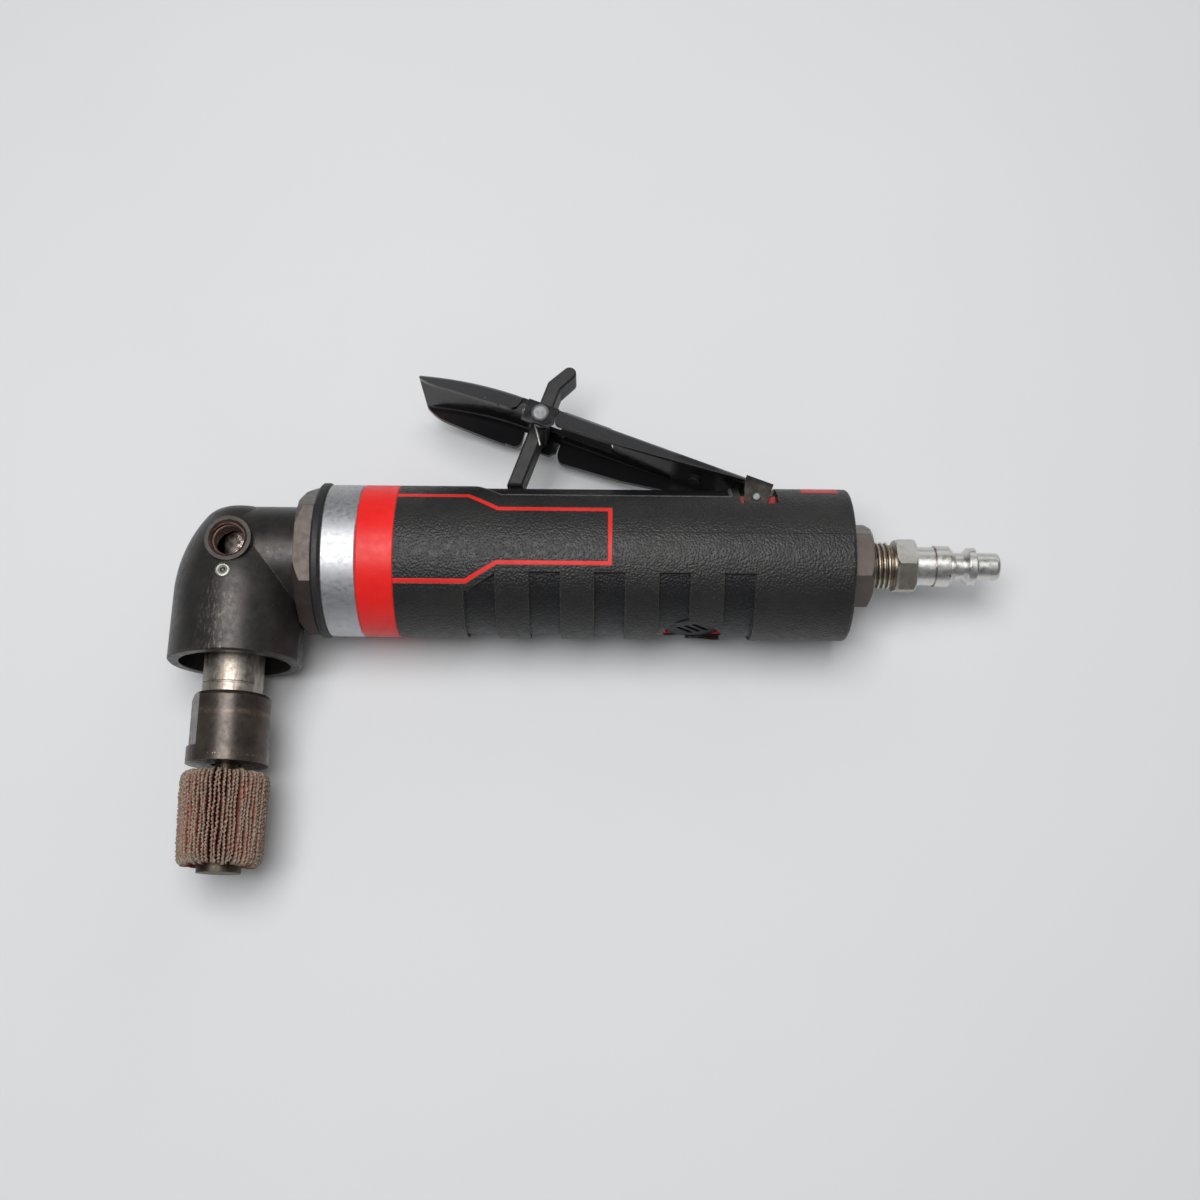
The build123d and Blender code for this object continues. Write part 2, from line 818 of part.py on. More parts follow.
pinion_heel_x, pinion_heel_radius = root_point(
    pinion_pitch_radius, gear_pitch_radius, pinion_angle, 1
)
pinion_toe_x, pinion_toe_radius = root_point(
    pinion_pitch_radius, gear_pitch_radius, pinion_angle, toe_scale
)
gear_heel_drop, gear_heel_radius = root_point(
    gear_pitch_radius, pinion_pitch_radius, gear_angle, 1
)
gear_toe_drop, gear_toe_radius = root_point(
    gear_pitch_radius, pinion_pitch_radius, gear_angle, toe_scale
)

pinion_spacer_start = pinion_bearing_start + pinion_bearing_width
pinion_bearing_second = pinion_spacer_start + pinion_spacer_length
pinion_retainer_start = pinion_bearing_second + pinion_bearing_width
pinion_tooth = bevel_tooth(Vector(1, 0, 0), Vector(0, -1, 0), pinion_angle)
with BuildPart() as bevel_pinion:
    with BuildSketch(Plane.XY):
        with BuildLine():
            Polyline(
                (pinion_toe_x, 0),
                (pinion_toe_x, pinion_toe_radius),
                (pinion_heel_x, pinion_heel_radius),
                (pinion_bearing_start - running, pinion_heel_radius),
                (pinion_bearing_start - running, pinion_collar_radius),
                (pinion_bearing_start, pinion_collar_radius),
                (pinion_bearing_start, pinion_bearing_bore),
                (neck_end - slip, pinion_bearing_bore),
                (neck_end - slip, 0),
                close=True,
            )
        make_face()
    revolve(axis=Axis.X)
    for step in range(pinion_teeth):
        add(pinion_tooth.part.rotate(Axis.X, 360 * step / pinion_teeth))
    with BuildSketch(Plane.YZ.offset(neck_end)):
        Rectangle(past, drive_tongue_width + 2 * slip)
    extrude(amount=-(drive_tongue_length + 2 * slip), mode=Mode.SUBTRACT)

pinion_front_inner, pinion_front_outer = motor_bearing(
    pinion_bearing_bore, pinion_bearing_outer, pinion_bearing_start, pinion_bearing_width
)
pinion_rear_inner, pinion_rear_outer = motor_bearing(
    pinion_bearing_bore, pinion_bearing_outer, pinion_bearing_second, pinion_bearing_width
)
pinion_spacer = motor_ring(
    pinion_spacer_start,
    pinion_bearing_second,
    pinion_bearing_outer - race_wall,
    pinion_bearing_outer - seat_gap,
)
pinion_retainer = motor_ring(
    pinion_retainer_start,
    neck_end,
    motor_bearing_outer,
    pinion_bearing_outer - seat_gap,
)

gear_tooth = bevel_tooth(Vector(0, -1, 0), Vector(1, 0, 0), gear_angle)
with BuildPart() as bevel_gear:
    with BuildSketch(Plane.XY):
        with BuildLine():
            Polyline(
                (spindle_shaft_radius + seat_gap, -gear_hub_rise),
                (gear_hub_radius, -gear_hub_rise),
                (gear_toe_radius, -gear_toe_drop),
                (gear_heel_radius, -gear_heel_drop),
                (gear_heel_radius, -(gear_heel_drop + gear_rim_back)),
                (gear_boss_radius, -(gear_heel_drop + gear_rim_back)),
                (gear_boss_radius, -lower_bearing_drop),
                (spindle_shaft_radius + seat_gap, -lower_bearing_drop),
                close=True,
            )
        make_face()
    revolve(axis=Axis.Y)
    for step in range(gear_teeth):
        add(gear_tooth.part.rotate(Axis.Y, 360 * (step + 0.5) / gear_teeth))

# Spindle: turned, with wrench flats on its collar, a thread and a tapered socket
with BuildPart() as spindle:
    with BuildSketch(Plane.XY):
        with BuildLine():
            groove_floor = spindle_collar_radius - spindle_groove_depth
            groove_end = spindle_groove_drop + spindle_groove_width
            Polyline(
                (0, upper_bearing_rise + upper_bearing_width - running),
                (upper_bearing_bore, upper_bearing_rise + upper_bearing_width - running),
                (upper_bearing_bore, upper_bearing_rise),
                (spindle_shaft_radius, upper_bearing_rise),
                (spindle_shaft_radius, -lower_bearing_drop),
                (lower_bearing_bore, -lower_bearing_drop),
                (lower_bearing_bore, -retainer_drop),
                (spindle_collar_radius, -retainer_drop),
                (spindle_collar_radius, -spindle_groove_drop),
                (groove_floor, -spindle_groove_drop),
                (groove_floor, -groove_end),
                (spindle_collar_radius, -groove_end),
                (spindle_collar_radius, -spindle_collar_end),
                (spindle_thread_radius, -spindle_collar_end),
                (spindle_thread_radius, -collet_drop),
                (collet_waist_radius + slip, -collet_drop),
                (collet_tail_radius + slip, -(collet_drop - collet_tail_length)),
                (shank_radius + running, -(collet_drop - collet_tail_length)),
                (shank_radius + running, -(collet_drop - shank_grip)),
                (0, -(collet_drop - shank_grip)),
                close=True,
            )
        make_face()
    revolve(axis=Axis.Y)
    for flip in (1, -1):
        with BuildSketch(Plane.YZ.offset(flip * (spindle_collar_radius - spindle_flat_depth))):
            with Locations((-(retainer_drop + retainer_length + spindle_collar_end) / 2, 0)):
                Rectangle(spindle_collar_end - retainer_drop - retainer_length, past)
        extrude(amount=flip * spindle_collar_radius, mode=Mode.SUBTRACT)

upper_bearing_inner, upper_bearing_outer_race = spindle_bearing(
    upper_bearing_bore, upper_bearing_outer, -(upper_bearing_rise + upper_bearing_width), upper_bearing_width
)
lower_bearing_inner, lower_bearing_outer_race = spindle_bearing(
    lower_bearing_bore, lower_bearing_outer, lower_bearing_drop, lower_bearing_width
)

# Bearing retainer screwed into the skirt, with two spanner holes
with BuildPart() as bearing_retainer:
    with BuildSketch(Plane.XZ.offset(retainer_drop)):
        Circle(skirt_bore - seat_gap)
        Circle(spindle_collar_radius + retainer_bore_gap, mode=Mode.SUBTRACT)
        with PolarLocations((skirt_bore + spindle_collar_radius) / 2, 2):
            Circle(spanner_hole_radius, mode=Mode.SUBTRACT)
    extrude(amount=retainer_length)

# Collet with a long taper, a short taper at its nose, and slots
collet_drop_end = collet_drop + collet_nose_length
with BuildPart() as collet:
    with BuildSketch(Plane.XY):
        with BuildLine():
            Polyline(
                (shank_radius + slip, -(collet_drop - collet_tail_length)),
                (collet_tail_radius, -(collet_drop - collet_tail_length)),
                (collet_waist_radius, -collet_drop),
                (collet_nose_radius, -collet_drop_end),
                (shank_radius + slip, -collet_drop_end),
                close=True,
            )
        make_face()
    revolve(axis=Axis.Y)
    with BuildSketch(Plane.XZ.offset(collet_drop)):
        with PolarLocations(collet_waist_radius, collet_slots):
            Rectangle(2 * collet_tail_radius, collet_slot_width)
    extrude(amount=collet_nose_length, mode=Mode.SUBTRACT)

# Collet nut with a chamfered top and two wrench flats
with BuildPart() as collet_nut:
    with BuildSketch(Plane.XY):
        with BuildLine():
            Polyline(
                (spindle_thread_radius + slip, -spindle_collar_end),
                (collet_nut_radius - collet_nut_chamfer, -spindle_collar_end),
                (collet_nut_radius, -(spindle_collar_end + collet_nut_chamfer)),
                (collet_nut_radius, -nut_drop_end),
                (collet_nose_radius + slip, -nut_drop_end),
                (collet_nose_radius + slip, -collet_drop_end),
                (collet_waist_radius + slip, -collet_drop),
                (spindle_thread_radius + slip, -collet_drop),
                close=True,
            )
        make_face()
    revolve(axis=Axis.Y)
    flat_turn = radians(collet_nut_flat_clock)
    nut_face = Plane(origin=(0, 0, 0), x_dir=(0, 1, 0), z_dir=(cos(flat_turn), 0, sin(flat_turn)))
    flat_length = collet_nut_length - collet_nut_flat_end
    for flip in (1, -1):
        with BuildSketch(nut_face.offset(flip * (collet_nut_radius - collet_nut_flat_depth))):
            with Locations((-(spindle_collar_end + flat_length / 2), 0)):
                Rectangle(flat_length, past)
        extrude(amount=flip * collet_nut_radius, mode=Mode.SUBTRACT)

# Flap wheel: a hub with its shank, and a pack of radial flaps
hub_drop_end = wheel_drop_end + wheel_hub_proud
wheel_hub = turned(
    [
        (0, -(collet_drop - shank_grip + running)),
        (shank_radius, -(collet_drop - shank_grip + running)),
        (shank_radius, -wheel_drop),
        (wheel_hub_radius, -wheel_drop),
        (wheel_hub_radius, -hub_drop_end),
        (0, -hub_drop_end),
    ],
    Axis.Y,
)
with BuildPart() as flap_pack:
    with BuildSketch(Plane.XZ.offset(wheel_drop)):
        Circle(flap_root_radius)
        with PolarLocations((flap_root_radius + wheel_top_radius) / 2, wheel_flaps):
            Rectangle(wheel_top_radius - flap_root_radius + flap_thickness, flap_thickness)
        Circle(wheel_hub_radius + seat_gap, mode=Mode.SUBTRACT)
    extrude(amount=wheel_length)
    with BuildSketch(Plane.XY):
        with BuildLine():
            Polyline(
                (0, -wheel_drop),
                (wheel_top_radius - wheel_corner, -wheel_drop),
                (wheel_top_radius, -(wheel_drop + wheel_corner)),
                (wheel_foot_radius, -(wheel_drop_end - wheel_corner)),
                (wheel_foot_radius - wheel_corner, -wheel_drop_end),
                (0, -wheel_drop_end),
                close=True,
            )
        make_face()
    revolve(axis=Axis.Y, mode=Mode.INTERSECT)


# The lever's pocket as a cutter, used alike on the core and the grip
pocket_length = pocket_front + pocket_back
pocket_middle = pin_x + (pocket_back - pocket_front) / 2
with BuildPart() as pocket_cutter:
    with BuildSketch(Plane.XY):
        with Locations((pocket_middle, pocket_y)):
            Rectangle(pocket_length, past, align=(Align.CENTER, Align.MIN))
    extrude(amount=past, both=True)
    for flip in (1, -1):
        with BuildSketch(Plane.XY.offset(flip * (ear_inner - running))):
            with Locations((pocket_middle, pin_y - ear_radius - running)):
                Rectangle(pocket_length, past, align=(Align.CENTER, Align.MIN))
        extrude(amount=flip * past)

# Core of the handle: a red moulding with the motor bore, air passages and the lever's lug
with BuildPart() as housing_core:
    with BuildSketch(Plane.YZ.offset(band_start)):
        Circle(grip_radius)
    extrude(amount=band_length)
    chamfer(housing_core.edges().filter_by(GeomType.CIRCLE), band_edge)
    with BuildSketch(Plane.YZ.offset(band_start + band_edge)):
        Circle(core_radius)
    extrude(amount=core_end - band_start - band_edge)
    add(pocket_cutter.part, mode=Mode.SUBTRACT)
    with BuildSketch(Plane.XY):
        with Locations((pin_x, pin_y)):
            Circle(lug_radius)
    extrude(amount=ear_inner - running, both=True)
    with BuildSketch(Plane.XY):
        with Locations((pin_x, pin_y)):
            Circle(pin_radius + seat_gap)
    extrude(amount=past, both=True, mode=Mode.SUBTRACT)
    # Motor bore, then the air way, exhaust way and inlet
    with BuildSketch(Plane.YZ.offset(band_start)):
        Circle(case_radius + slip)
    extrude(amount=case_end - band_start, mode=Mode.SUBTRACT)
    with BuildSketch(Plane.YZ.offset(case_end)):
        with Locations((air_passage_rise, 0)):
            Circle(air_passage_radius)
    extrude(amount=valve_x - case_end, mode=Mode.SUBTRACT)
    with BuildSketch(Plane.YZ.offset(case_end)):
        with Locations((-exhaust_passage_drop, 0)):
            Circle(exhaust_passage_radius)
    extrude(amount=exhaust_x - case_end, mode=Mode.SUBTRACT)
    with BuildSketch(Plane.YZ.offset(valve_x)):
        Circle(inlet_bore_radius)
    extrude(amount=bushing_start - valve_x, mode=Mode.SUBTRACT)
    with BuildSketch(Plane.YZ.offset(bushing_start)):
        Circle(bushing_thread_radius + seat_gap)
    extrude(amount=core_end - bushing_start, mode=Mode.SUBTRACT)
    # Valve chamber from above and exhaust port from below
    with BuildSketch(Plane.XZ.offset(-valve_chamber_floor)):
        with Locations((valve_x, 0)):
            Circle(valve_chamber_radius)
    extrude(amount=-(valve_bushing_foot - valve_chamber_floor), mode=Mode.SUBTRACT)
    with BuildSketch(Plane.XZ.offset(-valve_bushing_foot)):
        with Locations((valve_x, 0)):
            Circle(valve_bushing_radius + seat_gap)
    extrude(amount=-past, mode=Mode.SUBTRACT)
    with BuildSketch(Plane.XZ.offset(exhaust_passage_drop)):
        with Locations((exhaust_x, 0)):
            Circle(exhaust_port_radius)
    extrude(amount=past, mode=Mode.SUBTRACT)


# Side outline of the panel on the grip's flanks, open towards the red band
def panel_outline():
    return Polyline(
        (grip_start - past, panel_front_top),
        (panel_slope_start, panel_front_top),
        (panel_slope_end, panel_back_top),
        (panel_end, panel_back_top),
        (panel_end, panel_back_bottom),
        (panel_slope_end, panel_back_bottom),
        (panel_slope_start, panel_front_bottom),
        (grip_start - past, panel_front_bottom),
        close=True,
    )


# Red stripe round the panel, flush with the grip, on both flanks
with BuildPart() as panel_stripe:
    with BuildSketch(Plane.XY) as stripe_sketch:
        with BuildLine():
            panel_outline()
        make_face()
        offset(amount=-stripe_width, mode=Mode.SUBTRACT)
    extrude(amount=past)
    with BuildSketch(Plane.YZ.offset(grip_start)):
        Circle(grip_radius)
        Circle(grip_radius - stripe_depth, mode=Mode.SUBTRACT)
    extrude(amount=panel_end - grip_start, mode=Mode.INTERSECT)
    mirror(about=Plane.XY)

# Finger notches as one cutter: bands round the underside, down to the notch floor
with BuildPart() as notch_cutter:
    with BuildSketch(Plane.XY):
        with Locations((notch_start + notch_width / 2, notch_top)):
            for step in range(notch_count):
                with Locations((step * notch_pitch, 0)):
                    Rectangle(notch_width, past, align=(Align.CENTER, Align.MAX))
        with BuildLine():
            panel_outline()
        panel_face = make_face(mode=Mode.PRIVATE)
        offset(panel_face, amount=notch_panel_gap, mode=Mode.SUBTRACT)
    extrude(amount=past, both=True)
    with BuildSketch(Plane.YZ.offset(grip_start)):
        Circle(grip_radius - notch_depth)
    extrude(amount=grip_length, mode=Mode.SUBTRACT)

# Inset under the lever as a cutter: a shallow band along the top of the grip
with BuildPart() as inset_cutter:
    with BuildSketch(Plane.XY):
        with BuildLine():
            Polyline(
                (inset_start, past),
                (inset_start, grip_radius),
                (inset_start + inset_slope, inset_foot),
                (inset_end, inset_foot),
                (inset_end, past),
                close=True,
            )
        make_face()
    extrude(amount=past, both=True)
    with BuildSketch(Plane.YZ.offset(grip_start)):
        Circle(inset_radius)
    extrude(amount=grip_length, mode=Mode.SUBTRACT)

# Grip sleeve moulded over the core
with BuildPart() as grip_sleeve:
    with BuildSketch(Plane.YZ.offset(grip_start)):
        Circle(grip_radius)
    extrude(amount=grip_length)
    fillet(
        grip_sleeve.edges().filter_by(GeomType.CIRCLE).group_by(Axis.X)[-1],
        grip_end_round,
    )
    # Grooves across the top, as places along the grip and depths
    for groove_at, groove_depth in top_grooves:
        with BuildSketch(Plane.XY):
            with Locations((groove_at, grip_radius - groove_depth)):
                Rectangle(top_groove_width, past, align=(Align.CENTER, Align.MIN))
        extrude(amount=past, both=True, mode=Mode.SUBTRACT)
    # A flat under the heel of the lever
    with BuildSketch(Plane.XY):
        with Locations((heel_relief_start, heel_relief_rise)):
            Rectangle(pin_x - heel_relief_start, past, align=(Align.MIN, Align.MIN))
    extrude(amount=past, both=True, mode=Mode.SUBTRACT)
    add(notch_cutter.part, mode=Mode.SUBTRACT)
    add(inset_cutter.part, mode=Mode.SUBTRACT)
    add(panel_stripe.part, mode=Mode.SUBTRACT)
    # The core's space, the way out for the bushing, and the windows in the skin
    with BuildSketch(Plane.YZ.offset(grip_start)):
        Circle(core_radius)
    extrude(amount=core_end - grip_start, mode=Mode.SUBTRACT)
    with BuildSketch(Plane.YZ.offset(core_end)):
        Circle(bushing_thread_radius + slip)
    extrude(amount=grip_end_wall, mode=Mode.SUBTRACT)
    add(pocket_cutter.part, mode=Mode.SUBTRACT)
    with BuildSketch(Plane.XY):
        with Locations((pin_x, pin_y)):
            Circle(lug_radius + slip)
    extrude(amount=past, both=True, mode=Mode.SUBTRACT)
    with BuildSketch(Plane.XZ):
        with Locations((valve_x, 0)):
            Circle(valve_stem_radius + running)
        with Locations((window_start + window_length / 2, 0)):
            Rectangle(window_length, window_width)
    extrude(amount=-past, mode=Mode.SUBTRACT)
    with BuildSketch(Plane.XZ):
        with Locations((exhaust_x, 0)):
            Ellipse(exhaust_window_length / 2, exhaust_window_width / 2)
    extrude(amount=past, mode=Mode.SUBTRACT)

# Exhaust diffuser: a plug with slanted slots, set in the port
with BuildPart() as exhaust_diffuser:
    with BuildSketch(Plane.XZ.offset(core_radius - diffuser_inset - diffuser_depth)):
        with Locations((exhaust_x, 0)):
            Circle(exhaust_port_radius - seat_gap)
            with Locations(Rotation(0, 0, diffuser_slant)):
                with GridLocations(diffuser_slot_pitch, 1, diffuser_slots, 1):
                    Rectangle(diffuser_slot_width, diffuser_slot_length, mode=Mode.SUBTRACT)
    extrude(amount=diffuser_depth)

# Throttle valve: a bushing, the plunger with its head, two seals and a spring
bushing_top = (core_radius**2 - valve_bushing_radius**2) ** 0.5
guide_foot = bushing_top - valve_guide_length
with BuildPart() as valve_bushing:
    with BuildSketch(Plane.XZ.offset(-bushing_top)):
        with Locations((valve_x, 0)):
            Circle(valve_bushing_radius)
            Circle(valve_stem_radius + slip, mode=Mode.SUBTRACT)
    extrude(amount=bushing_top - valve_bushing_foot)
    with BuildSketch(Plane.XZ.offset(-valve_bushing_foot)):
        with Locations((valve_x, 0)):
            Circle(valve_bore_radius)
    extrude(amount=-(guide_foot - valve_bushing_foot), mode=Mode.SUBTRACT)
    with BuildSketch(Plane.XZ.offset(-bushing_top)):
        with Locations((valve_x, 0)):
            Circle(stem_seal_radius)
    extrude(amount=stem_seal_thickness, mode=Mode.SUBTRACT)
    with BuildSketch(Plane.YZ.offset(valve_x)):
        with Locations((air_passage_rise, 0)):
            Circle(air_passage_radius - running)
    extrude(amount=-past, mode=Mode.SUBTRACT)

with BuildPart() as stem_seal:
    with BuildSketch(Plane.XZ.offset(-(bushing_top - stem_seal_thickness))):
        with Locations((valve_x, 0)):
            Circle(stem_seal_radius - seat_gap)
            Circle(valve_stem_radius + slip, mode=Mode.SUBTRACT)
    extrude(amount=-(stem_seal_thickness - slip))

seal_foot = valve_bushing_foot - valve_seal_thickness
head_foot = seal_foot - valve_head_thickness
stem_top = inset_radius + valve_stem_proud
with BuildPart() as valve_plunger:
    with BuildSketch(Plane.XZ.offset(-head_foot)):
        with Locations((valve_x, 0)):
            Circle(valve_head_radius)
    extrude(amount=-valve_head_thickness)
    with BuildSketch(Plane.XZ.offset(-seal_foot)):
        with Locations((valve_x, 0)):
            Circle(valve_stem_radius)
    extrude(amount=-(stem_top - seal_foot))
    fillet(valve_plunger.edges().group_by(Axis.Y)[-1], valve_stem_round)

with BuildPart() as valve_seal:
    with BuildSketch(Plane.XZ.offset(-seal_foot)):
        with Locations((valve_x, 0)):
            Circle(valve_head_radius)
            Circle(valve_stem_radius + seat_gap, mode=Mode.SUBTRACT)
    extrude(amount=-(valve_seal_thickness - slip))

spring_room = head_foot - valve_chamber_floor - valve_spring_wire - 2 * slip
valve_spring_frame = Plane(
    origin=(valve_x, valve_chamber_floor + valve_spring_wire / 2 + slip, 0),
    x_dir=(1, 0, 0),
    z_dir=(0, 1, 0),
)
valve_spring_radius = valve_head_radius - valve_spring_wire
valve_spring_places = coil_points(
    valve_spring_frame, valve_spring_radius, spring_room / valve_spring_turns, 2 * valve_spring_turns, 0
)
valve_spring, valve_spring_line = coil_spring(
    valve_spring_places, valve_spring_wire, valve_spring_end, valve_spring_end
)

# Lever pin through the lug
with BuildPart() as lever_pin:
    with BuildSketch(Plane.XY):
        with Locations((pin_x, pin_y)):
            Circle(pin_radius)
    extrude(amount=ear_outer + pin_radius / 2, both=True)
    chamfer(lever_pin.edges().filter_by(GeomType.CIRCLE), pin_radius / 4)

# Throttle lever: a bent channel of sheet with flared flanges, rivet tabs and pivot ears
flange_foot = web_half + flange_drop * tan(radians(flange_splay))
inner_web = web_half + sheet * (tan(radians(flange_splay)) - 1 / cos(radians(flange_splay)))
inner_foot = flange_foot - sheet / cos(radians(flange_splay))
web_under = web_top - sheet
flange_edge = web_top - flange_drop
with BuildPart() as throttle_lever:
    with BuildLine(lever_side) as lever_path:
        rear_run = Line((-lever_tail, 0), (lever_bend_at, 0))
        JernArc(rear_run @ 1, rear_run % 1, lever_bend_radius, -lever_bend)
    tail_end = lever_side.from_local_coords(Vector(-lever_tail, 0, 0))
    with BuildSketch(Plane(origin=tail_end, x_dir=(0, 0, 1), z_dir=lever_along)):
        with BuildLine():
            outer_line = FilletPolyline(
                (-flange_foot, flange_edge),
                (-web_half, web_top),
                (web_half, web_top),
                (flange_foot, flange_edge),
                radius=web_round,
            )
            Line(outer_line @ 1, outer_line @ 0)
        make_face()
        with BuildLine():
            inner_line = FilletPolyline(
                (-inner_foot, flange_edge),
                (-inner_web, web_under),
                (inner_web, web_under),
                (inner_foot, flange_edge),
                radius=web_round - sheet,
            )
            Line(inner_line @ 1, inner_line @ 0)
        make_face(mode=Mode.SUBTRACT)
    sweep(path=lever_path.line)
    # The lower edge of the flanges, seen from the side
    tip_web = web_under * cos(radians(lever_bend)) - tip_fall
    tip_reach = lever_reach + web_under * sin(radians(lever_bend))
    with BuildSketch(lever_side):
        with BuildLine():
            edge = Polyline(
                (-lever_tail - sheet, pivot_flange),
                (ear_front, pivot_flange),
                (flange_step_start, flange_step_height),
                (flange_step_end, flange_step_foot),
                (flange_deep_at, flange_deep),
                (flange_front_at, flange_front),
                (flange_tip_at, flange_tip),
            )
            tip = TangentArc(edge @ 1, (tip_reach, tip_web), tangent=edge % 1)
            Polyline(
                tip @ 1,
                (tip_reach + sheet, tip_web),
                (tip_reach + sheet, -past),
                (-lever_tail - sheet, -past),
                edge @ 0,
            )
        make_face()
    extrude(amount=past, both=True, mode=Mode.SUBTRACT)
    # Gaps that part the rivet tabs from the flanges, with round corners below
    notch_length = notch_behind_tab + notch_before_tab
    notch_middle = tab_along + (notch_before_tab - notch_behind_tab) / 2
    notch_foot = notch_length + 4 * notch_round
    for flip in (1, -1):
        with BuildSketch(lever_side.offset(flip * ear_inner)) as notch_sketch:
            with Locations((notch_middle, 0)):
                Rectangle(notch_length, past)
            with Locations((notch_middle, flange_deep)):
                Rectangle(notch_foot, past, align=(Align.CENTER, Align.MAX))
            corners = notch_sketch.vertices().filter_by(lambda corner: abs(corner.Y - flange_deep) < slip)
            fillet(corners.sort_by(Axis.X)[1:-1], notch_round)
        extrude(amount=flip * past, mode=Mode.SUBTRACT)
    # Rivet tabs and pivot ears, bent square from the web
    for flip in (1, -1):
        with BuildSketch(lever_side.offset(flip * ear_inner)):
            with BuildLine():
                tab_back = tab_along - tab_length / 2
                tab_front = tab_along + tab_length / 2
                Polyline(
                    (tab_back, web_under + sheet / 2),
                    (tab_front, web_under + sheet / 2),
                    (tab_front, tab_bottom),
                    (tab_back + tab_bevel, tab_bottom),
                    (tab_back, tab_bottom + tab_bevel),
                    close=True,
                )
            make_face()
        extrude(amount=flip * sheet)
        with BuildSketch(lever_side.offset(flip * ear_inner)):
            Circle(ear_radius)
            with Locations(((ear_front - lever_tail) / 2, pivot_flange + sheet / 2)):
                Rectangle(ear_front + lever_tail, sheet)
            make_hull()
            Circle(pin_radius + slip, mode=Mode.SUBTRACT)
        extrude(amount=flip * sheet)
    with BuildSketch(lever_side):
        with Locations((tab_along, rivet_out)):
            Circle(rivet_radius + slip)
    extrude(amount=past, both=True, mode=Mode.SUBTRACT)
    # Slot in the web for the lock lever, and the dimple that meets the valve plunger
    slot_middle = (lock_slot_start + lock_slot_end) / 2
    slot_place = lever_side.from_local_coords(Vector(slot_middle, 0, 0))
    slot_half = lock_half_thickness + 2 * running
    with BuildSketch(Plane(origin=slot_place, x_dir=lever_along, z_dir=lever_out)):
        RectangleRounded(lock_slot_end - lock_slot_start, 2 * slot_half, lock_slot_round)
    extrude(amount=web_half, both=True, mode=Mode.SUBTRACT)
    dimple_place = lever_side.from_local_coords(Vector(dimple_along, web_under - dimple_depth, 0))
    with BuildSketch(Plane(origin=dimple_place, x_dir=lever_along, z_dir=lever_out)):
        Circle(dimple_radius)
    extrude(amount=dimple_depth + sheet / 2)

# Rivet through the tabs, with a domed head at each end
with BuildPart() as lock_rivet:
    with BuildSketch(lever_side):
        with Locations((tab_along, rivet_out)):
            Circle(rivet_radius)
    extrude(amount=ear_outer, both=True)
    for flip in (1, -1):
        with BuildSketch(lever_side.offset(flip * ear_outer)):
            with Locations((tab_along, rivet_out)):
                Circle(rivet_head_radius)
        extrude(amount=flip * rivet_head_height)
    fillet(
        lock_rivet.edges().group_by(Axis.Z)[0] + lock_rivet.edges().group_by(Axis.Z)[-1],
        rivet_head_round,
    )

# Lock lever: a bar whose foot stands on the grip and whose upper end leans back
bar_front = -lock_forward - lock_width / 2
bar_back = -lock_forward + lock_width / 2
foot_level = inset_radius + lock_foot_gap - rivet_place.Y


def foot_point(across):
    return across, (foot_level + across * sin(radians(lock_tilt))) / cos(radians(lock_tilt))


with BuildPart() as lock_lever:
    with BuildSketch(lock_side):
        with Locations((-lock_forward, lock_knee)):
            Circle(lock_width / 2)
        with Locations((lock_end_back, lock_end_up)):
            Circle(lock_end_radius)
        make_hull()
        with BuildLine():
            Polyline(
                foot_point(bar_front),
                foot_point(bar_back),
                (bar_back, lock_knee),
                (bar_front, lock_knee),
                close=True,
            )
        make_face()
        Circle(lock_width / 2)
        Circle(rivet_radius + slip, mode=Mode.SUBTRACT)
    extrude(amount=lock_half_thickness, both=True)
    long_edges = lock_lever.edges().filter_by(Plane.XY).group_by(Axis.Z)
    outer_edges = long_edges[0] + long_edges[-1]
    chamfer(outer_edges.filter_by(GeomType.LINE), lock_edge)

# Lock spring: a few turns round the rivet and a leg that presses on the bar below it
lock_spring_frame = Plane(
    origin=lock_side.from_local_coords(Vector(0, 0, lock_spring_top)),
    x_dir=lock_back,
    z_dir=(0, 0, 1),
)
lock_spring_places = coil_points(
    lock_spring_frame,
    lock_spring_radius,
    -lock_spring_pitch,
    2 * lock_spring_turns,
    radians(lock_leg_clock),
)
lock_spring, lock_spring_line = coil_spring(
    lock_spring_places, lock_spring_wire, lock_spring_wire, lock_spring_leg
)

# Inlet bushing with its hexagon, the screen inside it and the air plug
with BuildPart() as inlet_bushing:
    with BuildSketch(Plane.YZ.offset(grip_end)):
        RegularPolygon(bushing_hex_flats / 2, hexagon, major_radius=False)
    extrude(amount=bushing_hex_length)
    bushing_corner = bushing_hex_flats / 2 / cos(pi / hexagon)
    with BuildSketch(Plane.XY):
        with BuildLine():
            Polyline(
                (grip_end, 0),
                (grip_end, bushing_corner),
                (bushing_end - bushing_hex_chamfer, bushing_corner),
                (bushing_end, bushing_corner - bushing_hex_bevel),
                (bushing_end, 0),
                close=True,
            )
        make_face()
    revolve(axis=Axis.X, mode=Mode.INTERSECT)
    with BuildSketch(Plane.YZ.offset(bushing_start)):
        Circle(bushing_thread_radius)
    extrude(amount=bushing_depth)
    with BuildSketch(Plane.YZ.offset(plug_seat)):
        Circle(plug_thread_radius + slip)
    extrude(amount=plug_seat_depth, mode=Mode.SUBTRACT)
    with BuildSketch(Plane.YZ.offset(bushing_start)):
        Circle(inlet_bore_radius)
    extrude(amount=plug_seat - bushing_start, mode=Mode.SUBTRACT)

with BuildPart() as inlet_screen:
    with BuildSketch(Plane.YZ.offset(plug_seat)):
        Circle(plug_thread_radius - slip)
        Circle(screen_hole_radius, mode=Mode.SUBTRACT)
        with PolarLocations(screen_ring_radius, screen_holes):
            Circle(screen_hole_radius, mode=Mode.SUBTRACT)
    extrude(amount=screen_thickness)

